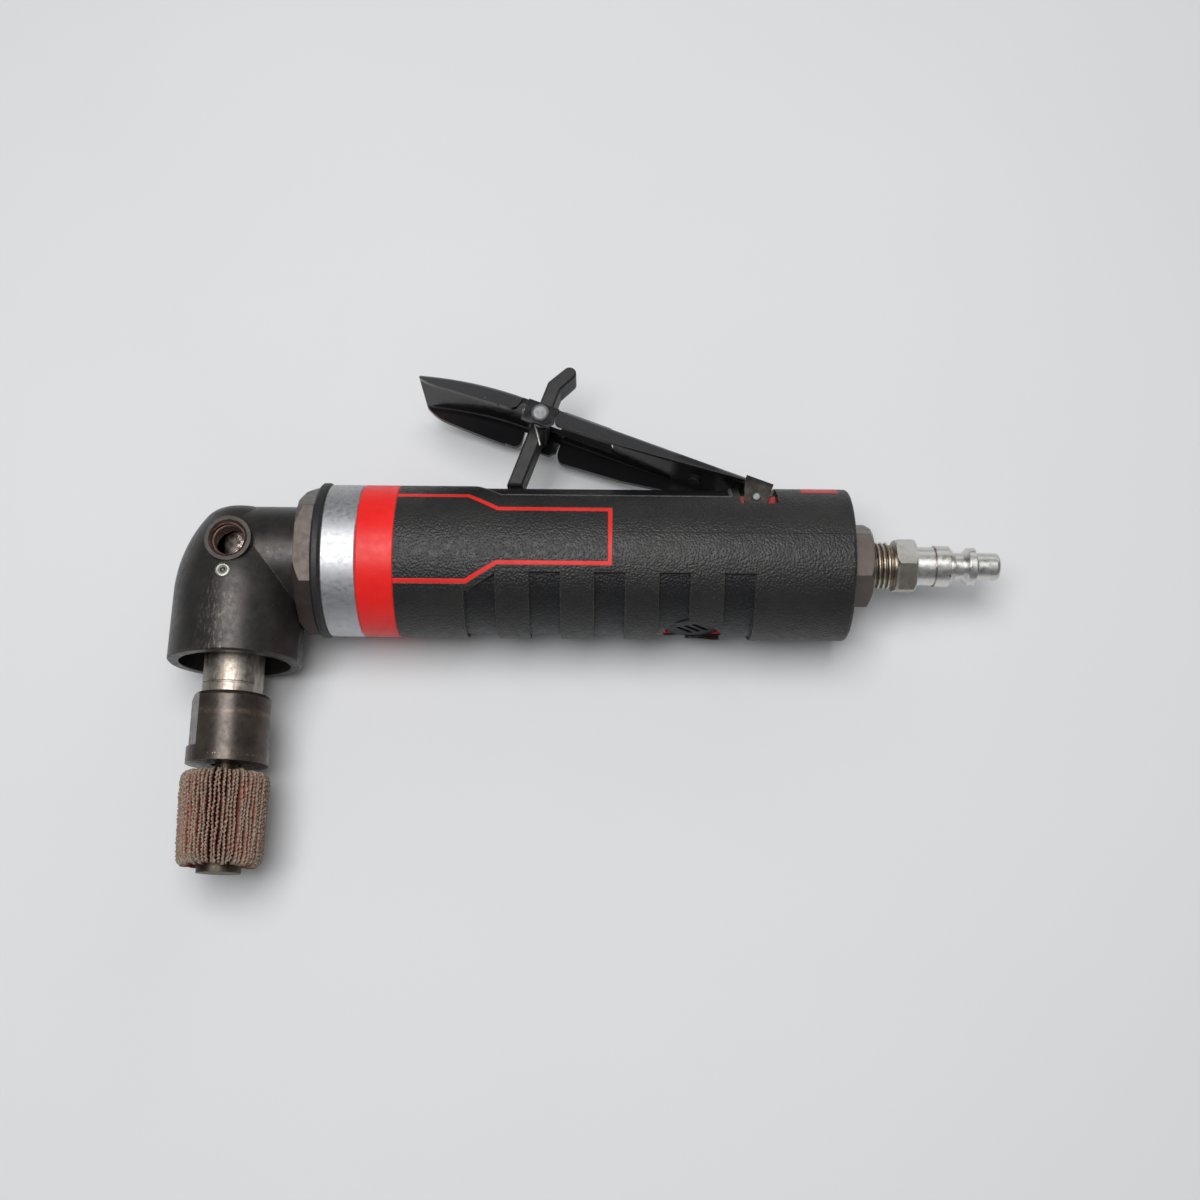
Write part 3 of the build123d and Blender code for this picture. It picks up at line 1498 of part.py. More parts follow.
plug_thread_end = bushing_end + plug_thread_shown
plug_hex_start = plug_thread_end + plug_relief_length
plug_barrel = plug_hex_start + plug_hex_length
plug_ring = plug_barrel + plug_barrel_length
plug_neck = plug_ring + plug_ring_length
plug_ridge = plug_neck + plug_neck_length
plug_nose = plug_ridge + plug_ridge_length
plug_end = plug_nose + plug_nose_length
plug_corner = plug_hex_flats / 2 / cos(pi / hexagon)
plug_hex_bevels = turned(
    [
        (plug_hex_start, 0),
        (plug_hex_start, plug_corner - plug_hex_chamfer),
        (plug_hex_start + plug_hex_chamfer, plug_corner),
        (plug_barrel - plug_hex_chamfer, plug_corner),
        (plug_barrel, plug_corner - plug_hex_chamfer),
        (plug_barrel, 0),
    ],
    Axis.X,
)
with BuildPart() as plug_hex:
    with BuildSketch(Plane.YZ.offset(plug_hex_start)):
        RegularPolygon(plug_hex_flats / 2, hexagon, major_radius=False, rotation=plug_hex_clock)
        Circle(plug_bore_radius, mode=Mode.SUBTRACT)
    extrude(amount=plug_hex_length)
    add(plug_hex_bevels.part, mode=Mode.INTERSECT)
with BuildPart() as air_plug:
    with BuildSketch(Plane.XY):
        with BuildLine():
            body = Polyline(
                (bushing_end - plug_engaged, plug_bore_radius),
                (bushing_end - plug_engaged, plug_thread_radius),
                (bushing_end, plug_thread_radius),
                (bushing_end, plug_thread_root),
                (plug_thread_end, plug_thread_root),
                (plug_thread_end, plug_relief_radius),
                (plug_hex_start, plug_relief_radius),
                (plug_barrel, plug_relief_radius),
                (plug_barrel, plug_barrel_radius),
                (plug_ring, plug_barrel_radius),
                (plug_ring, plug_ring_radius),
                (plug_neck - plug_ring_slope, plug_ring_radius),
                (plug_neck, plug_neck_radius),
                (plug_ridge, plug_neck_radius),
                (plug_ridge + plug_flare, plug_ridge_radius),
                (plug_nose - plug_chamfer, plug_ridge_radius),
                (plug_nose, plug_neck_radius),
                (plug_end - plug_nose_round, plug_neck_radius),
            )
            RadiusArc(
                body @ 1, (plug_end, plug_neck_radius - plug_nose_round), plug_nose_round
            )
            Polyline(
                (plug_end, plug_neck_radius - plug_nose_round), (plug_end, plug_bore_radius), body @ 0
            )
        make_face()
    revolve(axis=Axis.X)
    add(plug_hex.part)

pieces = {
    "angle_head": angle_head,
    "grease_fitting": grease_fitting,
    "clamp_nut": clamp_nut,
    "nut_gasket": nut_gasket,
    "split_ring": split_ring,
    "motor_case": motor_case,
    "front_end_plate": front_end_plate,
    "rear_end_plate": rear_end_plate,
    "cylinder_liner": cylinder_liner,
    "liner_dowel": liner_dowel,
    "rotor": rotor,
    "rotor_vanes": rotor_vanes,
    "front_bearing_inner": front_bearing_inner,
    "front_bearing_outer": front_bearing_outer,
    "rear_bearing_inner": rear_bearing_inner,
    "rear_bearing_outer": rear_bearing_outer,
    "bevel_pinion": bevel_pinion,
    "pinion_front_inner": pinion_front_inner,
    "pinion_front_outer": pinion_front_outer,
    "pinion_rear_inner": pinion_rear_inner,
    "pinion_rear_outer": pinion_rear_outer,
    "pinion_spacer": pinion_spacer,
    "pinion_retainer": pinion_retainer,
    "bevel_gear": bevel_gear,
    "spindle": spindle,
    "upper_bearing_inner": upper_bearing_inner,
    "upper_bearing_outer": upper_bearing_outer_race,
    "lower_bearing_inner": lower_bearing_inner,
    "lower_bearing_outer": lower_bearing_outer_race,
    "bearing_retainer": bearing_retainer,
    "collet": collet,
    "collet_nut": collet_nut,
    "wheel_hub": wheel_hub,
    "flap_pack": flap_pack,
    "housing_core": housing_core,
    "panel_stripe": panel_stripe,
    "grip_sleeve": grip_sleeve,
    "exhaust_diffuser": exhaust_diffuser,
    "valve_bushing": valve_bushing,
    "stem_seal": stem_seal,
    "valve_plunger": valve_plunger,
    "valve_seal": valve_seal,
    "valve_spring": valve_spring,
    "lever_pin": lever_pin,
    "throttle_lever": throttle_lever,
    "lock_rivet": lock_rivet,
    "lock_lever": lock_lever,
    "lock_spring": lock_spring,
    "inlet_bushing": inlet_bushing,
    "inlet_screen": inlet_screen,
    "air_plug": air_plug,
}

# All pieces move together, so that the tool lies on the table over the origin
boxes = [piece.part.bounding_box() for piece in pieces.values()]
low_x, high_x = min(box.min.X for box in boxes), max(box.max.X for box in boxes)
low_y, high_y = min(box.min.Y for box in boxes), max(box.max.Y for box in boxes)
low_z = min(box.min.Z for box in boxes)
lie_down = Location((-(low_x + high_x) / 2, -(low_y + high_y) / 2, -low_z))

os.makedirs("parts", exist_ok=True)
for name, piece in pieces.items():
    piece.part.move(lie_down)
    piece.part.label = name
    export_step(piece.part, f"parts/{name}.step")

print("axes cross at", lie_down.position)
for name, line, wire, turns in (
    ("valve spring", valve_spring_line, valve_spring_wire, valve_spring_turns),
    ("lock spring", lock_spring_line, lock_spring_wire, lock_spring_turns),
):
    print(name, "least gap to itself", round(least_gap(line, wire, 2 * turns), 3))
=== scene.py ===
import random
from math import ceil, cos, pi, radians, sin

import bmesh
import bpy
from mathutils import Matrix, Vector


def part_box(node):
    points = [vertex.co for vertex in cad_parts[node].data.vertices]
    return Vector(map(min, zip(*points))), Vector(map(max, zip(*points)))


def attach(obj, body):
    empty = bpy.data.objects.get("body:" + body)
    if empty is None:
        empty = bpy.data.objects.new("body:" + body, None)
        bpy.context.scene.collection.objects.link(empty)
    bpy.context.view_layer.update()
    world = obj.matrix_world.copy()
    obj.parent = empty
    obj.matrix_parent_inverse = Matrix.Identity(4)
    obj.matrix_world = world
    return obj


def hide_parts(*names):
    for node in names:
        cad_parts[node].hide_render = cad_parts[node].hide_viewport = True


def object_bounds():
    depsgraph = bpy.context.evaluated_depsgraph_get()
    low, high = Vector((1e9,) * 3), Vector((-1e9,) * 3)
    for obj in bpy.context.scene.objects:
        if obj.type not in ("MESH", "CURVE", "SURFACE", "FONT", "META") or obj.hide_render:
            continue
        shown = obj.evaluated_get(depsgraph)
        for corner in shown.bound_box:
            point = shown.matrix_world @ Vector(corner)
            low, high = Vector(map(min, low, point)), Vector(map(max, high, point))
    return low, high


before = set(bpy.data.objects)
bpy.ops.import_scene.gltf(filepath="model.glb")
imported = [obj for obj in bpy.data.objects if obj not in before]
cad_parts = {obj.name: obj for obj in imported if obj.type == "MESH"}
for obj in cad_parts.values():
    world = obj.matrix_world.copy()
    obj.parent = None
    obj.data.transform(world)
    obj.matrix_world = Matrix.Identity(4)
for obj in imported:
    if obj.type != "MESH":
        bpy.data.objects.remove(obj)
cad_low, cad_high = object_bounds()

# The motor axis and the spindle axis cross at ORIGIN. Sizes below are in millimetres from there.
SPINDLE_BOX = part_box("spindle")
CASE_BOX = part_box("motor_case")
ORIGIN = Vector((
    (SPINDLE_BOX[0].x + SPINDLE_BOX[1].x) / 2,
    (CASE_BOX[0].y + CASE_BOX[1].y) / 2,
    (CASE_BOX[0].z + CASE_BOX[1].z) / 2,
))


def place(x, y, z):
    """A point in metres in the frame, from millimetres about ORIGIN."""
    return ORIGIN + Vector((x, y, z)) / 1000


# Head: the side port with its thread, the grease fitting, and the chamber that the port opens to
PORT_RISE = 0.75
PORT_RADIUS = 4.7
PORT_FOOT = 12.5
PORT_TOP = 18.0
PORT_PITCH = 1.59
PORT_DEPTH = 0.62
FITTING = (-0.65, -8.3, 18.2)
FITTING_MOUTH = 1.45
CHAMBER_RADIUS = 8.2
CHAMBER_HALF = 11.0

# Collet nut and spindle: drops from the motor axis
NUT_BAND = 45.6
NUT_RIM = 57.3
GREASED_END = 15.0

# Grip: mould line, panel, the step along the lever, the exhaust and the red pad at the rear
SEAM_Y = 2.4
PANEL_END = 105.2
GRIP_RADIUS = 21.6
INSET_START = 64.3
INSET_TURN = 74.2
INSET_END = 138.2
INSET_FOOT = 15.15
EXHAUST_X = 128.1
INSERT_START = 157.9
INSERT_END = 168.6
INSERT_HALF = radians(38)

# Throttle lever: its pin and slope, and along it from the pin, the lock's slot and the plunger's dimple
PIN = (145.6, 16.1, 0)
LEVER_RISE = radians(20.6)
SLOT_START = 44.5
SLOT_END = 73.0
SLOT_HALF = 5.2
DIMPLE_ALONG = 18.8

# Heights above the lever's line: by the dimple it is matt below the first and shiny above the second
MATT_UNDER = 4.6
SHINY_OVER = 5.2

# Air plug
PLUG_START = 178.7
PLUG_HEX = 185.5
PLUG_BARREL = 191.3
PLUG_RING = 196.9
PLUG_CORE = 6.0
PLUG_CREST = 6.72
PLUG_PITCH = 1.41

# Flap wheel
WHEEL_START = 61.0
WHEEL_END = 85.8
WHEEL_TOP = 12.4
WHEEL_FOOT = 11.6
FLAPS = 60
FLAP_SEED = 11
FLAP_ROOT = 8.0
HUB_RADIUS = 6.05

# Threads sink this far into what carries them
THREAD_SINK = 0.06

GREASE_BROWN = (0.34, 0.17, 0.12)


class Look:
    """A material built from texture nodes, with coordinates in millimetres from ORIGIN."""

    def __init__(self, name):
        self.material = bpy.data.materials.new(name)
        self.material.use_nodes = True
        self.nodes = self.material.node_tree.nodes
        self.links = self.material.node_tree.links
        self.shader = self.nodes["Principled BSDF"]
        coords = self.nodes.new("ShaderNodeTexCoord")
        shift = self.nodes.new("ShaderNodeMapping")
        shift.inputs["Scale"].default_value = (1000, 1000, 1000)
        shift.inputs["Location"].default_value = ORIGIN * -1000
        self.links.new(coords.outputs["Object"], shift.inputs["Vector"])
        self.mm = shift.outputs["Vector"]
        self.normal = None
        self.colour = None
        self.edge = None
        self.shine = None

    def put(self, value, socket):
        """Links a socket, or sets a constant."""
        if isinstance(value, bpy.types.NodeSocket):
            self.links.new(value, socket)
        elif isinstance(value, tuple) and len(value) == 3 and socket.type == "RGBA":
            socket.default_value = (*value, 1)
        else:
            socket.default_value = value

    def set(self, **values):
        """Sets inputs of the shader, with underscores for spaces in their names."""
        for name, value in values.items():
            self.put(value, self.shader.inputs[name.replace("_", " ")])

    def math(self, operation, a, b=0.0):
        """A math node on sockets or numbers."""
        node = self.nodes.new("ShaderNodeMath")
        node.operation = operation
        self.put(a, node.inputs[0])
        self.put(b, node.inputs[1])
        return node.outputs[0]

    def times(self, first, *others):
        """The product of masks and numbers."""
        for other in others:
            first = self.math("MULTIPLY", first, other)
        return first

    def most(self, first, *others):
        """The largest of several masks."""
        for other in others:
            first = self.math("MAXIMUM", first, other)
        return first

    def off(self, value, centre=0.0):
        """How far a value is from a centre."""
        return self.math("ABSOLUTE", self.math("SUBTRACT", value, centre))

    def axes(self):
        """Sockets with x, y and z."""
        node = self.nodes.new("ShaderNodeSeparateXYZ")
        self.links.new(self.mm, node.inputs[0])
        return node.outputs

    def stretch(self, scale):
        """Coordinates scaled by a factor for each axis."""
        node = self.nodes.new("ShaderNodeMapping")
        self.links.new(self.mm, node.inputs["Vector"])
        node.inputs["Scale"].default_value = scale
        return node.outputs[0]

    def noise(self, scale, detail=3.0, rough=0.5, stretch=None):
        node = self.nodes.new("ShaderNodeTexNoise")
        self.links.new(self.stretch(stretch) if stretch else self.mm, node.inputs["Vector"])
        node.inputs["Scale"].default_value = scale
        node.inputs["Detail"].default_value = detail
        node.inputs["Roughness"].default_value = rough
        return node.outputs["Fac"]

    def uneven(self, low, high, scale, detail=4.0):
        """A value that wanders between two limits."""
        return self.span(self.noise(scale, detail), 0.3, 0.7, low, high)

    def cells(self, scale):
        """Rounded pebbles."""
        node = self.nodes.new("ShaderNodeTexVoronoi")
        node.feature = "SMOOTH_F1"
        self.links.new(self.mm, node.inputs["Vector"])
        node.inputs["Scale"].default_value = scale
        node.inputs["Smoothness"].default_value = 0.6
        return self.span(node.outputs["Distance"], 0.0, 0.7, 1.0, 0.0)

    def away(self, axis, centre=(0, 0, 0)):
        """Distance from a line that runs along an axis through a point."""
        flat = self.nodes.new("ShaderNodeMapping")
        self.links.new(self.mm, flat.inputs["Vector"])
        flat.inputs["Scale"].default_value = [index != axis for index in range(3)]
        flat.inputs["Location"].default_value = [
            -middle if index != axis else 0 for index, middle in enumerate(centre)
        ]
        length = self.nodes.new("ShaderNodeVectorMath")
        length.operation = "LENGTH"
        self.links.new(flat.outputs[0], length.inputs[0])
        return length.outputs["Value"]

    def span(self, value, low, high, to_low=0.0, to_high=1.0):
        """Maps a value from one range to another, and clamps it."""
        node = self.nodes.new("ShaderNodeMapRange")
        self.put(value, node.inputs["Value"])
        node.inputs["From Min"].default_value = low
        node.inputs["From Max"].default_value = high
        node.inputs["To Min"].default_value = to_low
        node.inputs["To Max"].default_value = to_high
        return node.outputs["Result"]

    def mix(self, share, a, b):
        """A colour between two, by a share."""
        node = self.nodes.new("ShaderNodeMix")
        node.data_type = "RGBA"
        self.put(share, node.inputs["Factor"])
        self.put(a, node.inputs["A"])
        self.put(b, node.inputs["B"])
        return node.outputs["Result"]

    def stain(self, share, colour):
        """Lays a colour over what is there."""
        self.colour = self.mix(share, self.colour, colour)

    def edges(self, radius=0.35):
        """Rounds the edges in the shading, and keeps a mask of where they are."""
        bevel = self.nodes.new("ShaderNodeBevel")
        bevel.samples = 4
        bevel.inputs["Radius"].default_value = radius / 1000
        flat = self.nodes.new("ShaderNodeNewGeometry")
        dot = self.nodes.new("ShaderNodeVectorMath")
        dot.operation = "DOT_PRODUCT"
        self.links.new(bevel.outputs[0], dot.inputs[0])
        self.links.new(flat.outputs["Normal"], dot.inputs[1])
        self.normal = bevel.outputs[0]
        self.edge = self.span(dot.outputs["Value"], 0.99, 0.8)

    def bump(self, height, depth, strength=1.0):
        """Adds a relief, depth millimetres deep."""
        node = self.nodes.new("ShaderNodeBump")
        node.inputs["Strength"].default_value = strength
        node.inputs["Distance"].default_value = depth / 1000
        self.put(height, node.inputs["Height"])
        if self.normal:
            self.links.new(self.normal, node.inputs["Normal"])
        self.normal = node.outputs[0]

    def done(self):
        """Links the colour and the relief, and gives the material."""
        self.put(self.colour, self.shader.inputs["Base Color"])
        if self.normal:
            self.links.new(self.normal, self.shader.inputs["Normal"])
        return self.material


def oxide_look(name, dark, light, worn, rough):
    """Blackened steel that is rubbed bright at its edges."""
    look = Look(name)
    look.edges()
    cloud = look.span(look.noise(0.16, 5.0, 0.6), 0.35, 0.68)
    look.colour = look.mix(cloud, dark, light)
    rub = look.times(look.edge, look.span(look.noise(0.9, 4.0, 0.6), 0.38, 0.62))
    specks = look.span(look.noise(1.7, 2.0, 0.5), 0.71, 0.77)
    look.stain(look.most(rub, look.times(specks, 0.35)), worn)
    look.set(Metallic=0.55, Roughness=look.uneven(rough - 0.07, rough + 0.09, 0.6))
    look.bump(look.noise(3.2, 3.0), 0.03, 0.5)
    return look


def steel_look(name, clean, stain, rough, stained=(0.5, 0.72), axis=None):
    """Bare or plated steel, with stains and, about an axis, turning lines."""
    look = Look(name)
    look.edges(0.25)
    patch = look.span(look.noise(0.35, 5.0, 0.62), *stained)
    look.colour = look.mix(patch, clean, stain)
    look.set(Metallic=1.0, Roughness=look.uneven(rough - 0.06, rough + 0.12, 0.8))
    if axis is not None:
        scale = [0.05, 0.05, 0.05]
        scale[axis] = 6.0
        look.bump(look.noise(1.0, 3.0, 0.6, tuple(scale)), 0.02, 0.6)
    return look


def plastic_look(name, dark, light, rough, grain, depth):
    """Moulded or painted skin with a fine grain."""
    look = Look(name)
    look.edges(0.3)
    cloud = look.span(look.noise(0.07, 5.0, 0.6), 0.36, 0.66)
    look.colour = look.mix(cloud, dark, light)
    look.shine = look.uneven(rough - 0.06, rough + 0.08, 0.5)
    look.set(Roughness=look.shine)
    look.bump(look.noise(grain, 2.0, 0.5), depth, 0.7)
    return look


looks = {}


def wear(look, *nodes):
    """Gives a look to nodes of the frame."""
    material = look.done()
    for node in nodes:
        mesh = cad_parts[node].data
        mesh.materials.clear()
        mesh.materials.append(material)
        looks[node] = material


def head_look():
    """Blackened steel: a painted highlight in light streaks along the top of the skirt, rust spots, a
    brown port and a greased chamber.
    """
    look = oxide_look(
        "head_oxide", (0.030, 0.027, 0.026), (0.050, 0.044, 0.041), (0.22, 0.19, 0.16), 0.38
    )
    x, y, z = look.axes()
    # Painted highlight: light streaks only on the skirt's top strip near x = -2, where the overhead
    # lamp's sheen falls
    streaks = look.span(look.noise(1.5, 5.0, 0.7, (1.2, 0.34, 0.6)), 0.52, 0.72)
    beside = look.span(look.off(x, -2.0), 6.0, 0.4)
    skirt = look.span(y, -8.0, -16.0)
    upward = look.span(z, 8.0, 15.0)
    look.stain(look.times(beside, skirt, upward, streaks, 0.8), (0.26, 0.23, 0.20))
    spots = look.span(look.noise(0.9, 3.0), 0.72, 0.76)
    look.stain(look.times(spots, skirt), (0.12, 0.05, 0.03))
    from_port = look.away(2, (0, PORT_RISE, 0))
    in_chamber = look.times(
        look.span(from_port, CHAMBER_RADIUS, CHAMBER_RADIUS - 0.3),
        look.span(look.off(z), CHAMBER_HALF, CHAMBER_HALF - 0.3),
    )
    look.stain(in_chamber, GREASE_BROWN)
    in_port = look.times(
        look.span(from_port, PORT_RADIUS + 0.35, PORT_RADIUS + 0.05), look.span(z, 9.0, 9.6)
    )
    rust_cloud = look.span(look.noise(0.8, 4.0), 0.35, 0.65)
    rust = look.mix(rust_cloud, (0.050, 0.022, 0.015), (0.20, 0.10, 0.07))
    crest = look.span(from_port, PORT_RADIUS - 0.15, PORT_RADIUS - 0.4)
    look.stain(in_port, look.mix(crest, rust, (0.17, 0.115, 0.095)))
    return look


def collet_nut_look():
    """Browned steel with a worn band, and small chips at the rim."""
    look = oxide_look(
        "collet_oxide", (0.045, 0.036, 0.031), (0.085, 0.066, 0.054), (0.26, 0.21, 0.16), 0.32
    )
    y = look.axes()[1]
    ragged = look.span(look.noise(0.7, 4.0), 0.2, 0.8, -0.4, 0.4)
    band = look.span(look.off(look.math("ADD", y, ragged), -NUT_BAND), 1.1, 0.0)
    patchy = look.span(look.noise(0.5, 4.0, 0.6), 0.36, 0.62, 0.05, 0.5)
    look.stain(look.times(band, patchy), (0.24, 0.165, 0.12))
    scuff = look.span(look.off(y, -NUT_RIM), 0.45, 0.1)
    chips = look.span(look.noise(2.4, 3.0, 0.6), 0.60, 0.66)
    look.stain(look.times(scuff, chips), (0.42, 0.35, 0.27))
    return look


def spindle_look():
    """Turned steel with brown runs, greased inside the head."""
    look = steel_look("spindle_steel", (0.46, 0.42, 0.37), (0.20, 0.135, 0.085), 0.42, (0.48, 0.74), 1)
    y = look.axes()[1]
    runs = look.span(look.noise(0.9, 5.0, 0.65, (1.0, 0.16, 1.0)), 0.50, 0.70)
    look.stain(look.times(runs, 0.65), (0.13, 0.085, 0.05))
    look.stain(look.span(y, -GREASED_END - 2.0, -GREASED_END), GREASE_BROWN)
    return look


def fitting_look():
    """Bright steel, with painted shade darkening the mouth round the ball."""
    look = steel_look("fitting_steel", (0.72, 0.72, 0.67), (0.55, 0.55, 0.49), 0.36, (0.50, 0.75))
    # Painted shade: the mouth round the ball is darkened as if in shadow
    mouth = look.span(look.away(2, FITTING), FITTING_MOUTH, FITTING_MOUTH - 0.2)
    look.stain(mouth, (0.20, 0.205, 0.17))
    return look


def plug_look():
    """Zinc plate with sealant in the thread, a stained hexagon, rust specks and pits."""
    look = steel_look("plug_zinc", (0.68, 0.675, 0.65), (0.46, 0.41, 0.34), 0.32, (0.55, 0.85), 0)
    x, y, _ = look.axes()
    threaded = look.span(x, PLUG_HEX + 0.4, PLUG_HEX - 0.4)
    sealant = look.span(look.noise(0.7, 4.0, 0.6), 0.40, 0.62)
    look.stain(look.times(threaded, sealant, 0.7), (0.44, 0.33, 0.17))
    thread_foot = look.span(look.away(0), PLUG_CORE + 0.5, PLUG_CORE - 0.1)
    look.stain(look.times(thread_foot, threaded), (0.17, 0.12, 0.06))
    on_hex = look.times(
        look.span(x, PLUG_HEX + 0.4, PLUG_HEX + 1.0), look.span(x, PLUG_BARREL, PLUG_BARREL - 0.5)
    )
    look.stain(look.times(on_hex, look.span(y, 2.0, -4.0, 0.0, 0.55)), (0.30, 0.24, 0.13))
    rusty = look.span(look.noise(0.55, 5.0, 0.65), 0.62, 0.74)
    look.stain(look.times(rusty, look.span(x, PLUG_BARREL - 1.0, PLUG_RING)), (0.14, 0.065, 0.035))
    brown_line = look.span(look.off(x, PLUG_RING), 0.4, 0.1)
    broken = look.span(look.noise(0.8, 3.0), 0.3, 0.6, 0.2, 0.8)
    look.stain(look.times(brown_line, broken), (0.13, 0.06, 0.03))
    pits = look.span(look.noise(1.3, 3.0, 0.6), 0.69, 0.75)
    look.stain(look.times(pits, 0.7), (0.09, 0.075, 0.06))
    look.bump(look.times(pits, -1.0), 0.03, 0.6)
    return look


def case_look():
    """Aluminium with turning lines and a dull, spotted side."""
    look = steel_look("case_aluminium", (0.54, 0.55, 0.57), (0.47, 0.48, 0.50), 0.50, (0.40, 0.75), 0)
    y = look.axes()[1]
    spotted = look.times(look.span(look.noise(1.1, 4.0, 0.7), 0.52, 0.62), look.span(y, 6.0, 12.0))
    look.stain(look.times(spotted, 0.7), (0.40, 0.37, 0.35))
    specks = look.span(look.noise(1.6, 2.0), 0.72, 0.78)
    look.stain(look.times(specks, 0.4), (0.30, 0.27, 0.24))
    return look


def red_look():
    """Red moulding: scratches and grime at the edges, darker past the exhaust, and painted shade by the
    lever's pin and at the rear.
    """
    look = plastic_look("red_plastic", (0.76, 0.014, 0.012), (0.86, 0.022, 0.018), 0.40, 2.0, 0.015)
    look.set(Specular_IOR_Level=0.3)
    x, y, z = look.axes()
    scratches = look.span(look.noise(0.5, 5.0, 0.7, (0.25, 2.2, 2.2)), 0.62, 0.68)
    look.stain(look.times(scratches, 0.25), (0.80, 0.10, 0.09))
    grime = look.times(look.edge, look.span(look.noise(0.8, 4.0), 0.45, 0.62))
    look.stain(look.times(grime, 0.5), (0.16, 0.012, 0.012))
    # Painted shade: the red round the lever's pin is darkened where the lever shades it
    pin_shade = look.span(look.away(2, PIN), 10.0, 7.0)
    look.stain(look.times(pin_shade, 0.8), (0.17, 0.010, 0.009))
    past_port = look.times(look.span(look.off(x, EXHAUST_X), 12.0, 11.0), look.span(y, -8.0, -10.0))
    look.stain(look.times(past_port, look.span(z, 2.5, 4.5)), (0.020, 0.008, 0.008))
    # Painted shade: the rear pad and the core just before it are darkened as if in shadow
    rear = look.span(x, INSERT_START - 2.0, INSERT_START - 1.0, 0.0, 0.6)
    look.stain(rear, (0.20, 0.008, 0.008))
    return look


def stripe_look():
    """Red line round the panel."""
    look = plastic_look("stripe_red", (0.68, 0.018, 0.014), (0.78, 0.026, 0.020), 0.46, 2.6, 0.03)
    look.set(Specular_IOR_Level=0.3)
    return look


def step_lines(look, x, y):
    """Mask of the dusty line at the foot of the step along the lever: slope, long side and end."""
    foot = look.times(
        look.span(look.off(y, INSET_FOOT), 0.60, 0.25),
        look.span(x, INSET_TURN - 0.1, INSET_TURN),
        look.span(x, INSET_END + 0.2, INSET_END),
    )
    end = look.times(
        look.span(look.off(x, INSET_END), 0.55, 0.2), look.span(y, INSET_FOOT - 0.1, INSET_FOOT)
    )
    steepness = (GRIP_RADIUS - INSET_FOOT) / (INSET_TURN - INSET_START)
    climb = look.times(look.math("SUBTRACT", INSET_TURN, x), steepness)
    slope = look.times(
        look.span(look.off(look.math("SUBTRACT", y, climb), INSET_FOOT), 0.60, 0.25),
        look.span(x, INSET_START, INSET_START + 0.2),
        look.span(x, INSET_TURN + 0.1, INSET_TURN),
    )
    return look.most(foot, end, slope)


def grip_look():
    """Textured grip: pebbled skin, a mould line along its flank, painted shade on the tread's sunken
    floors, dusty edges of the tread.
    """
    look = plastic_look(
        "grip_black", (0.0125, 0.0120, 0.0120), (0.0200, 0.0190, 0.0180), 0.46, 3.4, 0.03
    )
    look.set(Specular_IOR_Level=0.4)
    look.bump(look.cells(1.55), 0.15, 0.8)
    x, y, z = look.axes()
    seam = look.times(
        look.span(look.off(y, SEAM_Y), 0.16, 0.05),
        look.span(x, PANEL_END + 0.5, PANEL_END + 1.0),
        look.span(z, 10.0, 15.0),
    )
    look.bump(seam, 0.12, 0.8)
    # Painted shade: the tread's sunken floors, below the grip's radius, are darkened to a bluish black
    hollow_shade = look.span(look.away(0), GRIP_RADIUS - 0.12, GRIP_RADIUS - 0.4)
    look.stain(hollow_shade, (0.0062, 0.0064, 0.0075))
    dust = look.times(look.edge, look.span(look.noise(1.5, 4.0, 0.65), 0.38, 0.54))
    look.stain(dust, (0.150, 0.122, 0.090))
    broken = look.span(look.noise(0.9, 4.0, 0.6), 0.30, 0.55, 0.25, 0.95)
    look.stain(look.times(step_lines(look, x, y), broken), (0.150, 0.138, 0.120))
    motes = look.span(look.noise(0.8, 2.0, 0.5), 0.73, 0.77)
    look.stain(look.times(motes, 0.5), (0.10, 0.085, 0.065))
    return look


def diffuser_look():
    """Dull black plastic."""
    look = plastic_look("diffuser_black", (0.006, 0.006, 0.008), (0.011, 0.011, 0.013), 0.55, 2.4, 0.03)
    look.set(Specular_IOR_Level=0.2)
    return look


def rubber_look():
    """Black rubber with brown dust."""
    look = plastic_look("seal_rubber", (0.010, 0.010, 0.011), (0.016, 0.016, 0.016), 0.55, 2.2, 0.03)
    dust = look.span(look.noise(1.2, 3.0), 0.64, 0.72)
    look.stain(look.times(dust, 0.6), (0.07, 0.055, 0.04))
    return look


def lever_look():
    """Glossy black paint: chipped edges, a dusty lug, dull slot walls and a dull web round the dimple."""
    look = plastic_look("lever_paint", (0.012, 0.012, 0.014), (0.017, 0.017, 0.018), 0.15, 1.2, 0.008)
    look.set(Specular_IOR_Level=0.22)
    chipped = look.times(look.edge, look.span(look.noise(0.7, 4.0, 0.6), 0.28, 0.50))
    look.stain(look.times(chipped, 0.9), (0.15, 0.118, 0.088))
    dusty = look.span(look.noise(0.8, 4.0, 0.6), 0.30, 0.60, 0.25, 0.9)
    look.stain(look.times(look.span(look.away(2, PIN), 6.0, 3.5), dusty), (0.060, 0.052, 0.043))
    x, y, z = look.axes()
    back = look.math("SUBTRACT", PIN[0], x)
    up = look.math("SUBTRACT", y, PIN[1])
    along = look.math("ADD", look.times(back, cos(LEVER_RISE)), look.times(up, sin(LEVER_RISE)))
    out = look.math("SUBTRACT", look.times(up, cos(LEVER_RISE)), look.times(back, sin(LEVER_RISE)))
    slot_walls = look.times(
        look.span(along, SLOT_START - 1.0, SLOT_START - 0.5),
        look.span(along, SLOT_END + 1.0, SLOT_END + 0.5),
        look.span(look.off(look.off(z), SLOT_HALF), 0.14, 0.08),
    )
    near_dimple = look.times(
        look.span(look.off(along, DIMPLE_ALONG), 9.0, 5.0),
        look.span(look.off(z), 14.0, 12.5),
        look.span(out, SHINY_OVER, MATT_UNDER),
        0.75,
    )
    matt = look.times(look.most(slot_walls, near_dimple), 0.9)
    look.set(Roughness=look.most(look.shine, matt))
    specks = look.span(look.noise(0.6, 2.0), 0.73, 0.77)
    look.stain(look.times(specks, 0.5), (0.12, 0.10, 0.08))
    return look


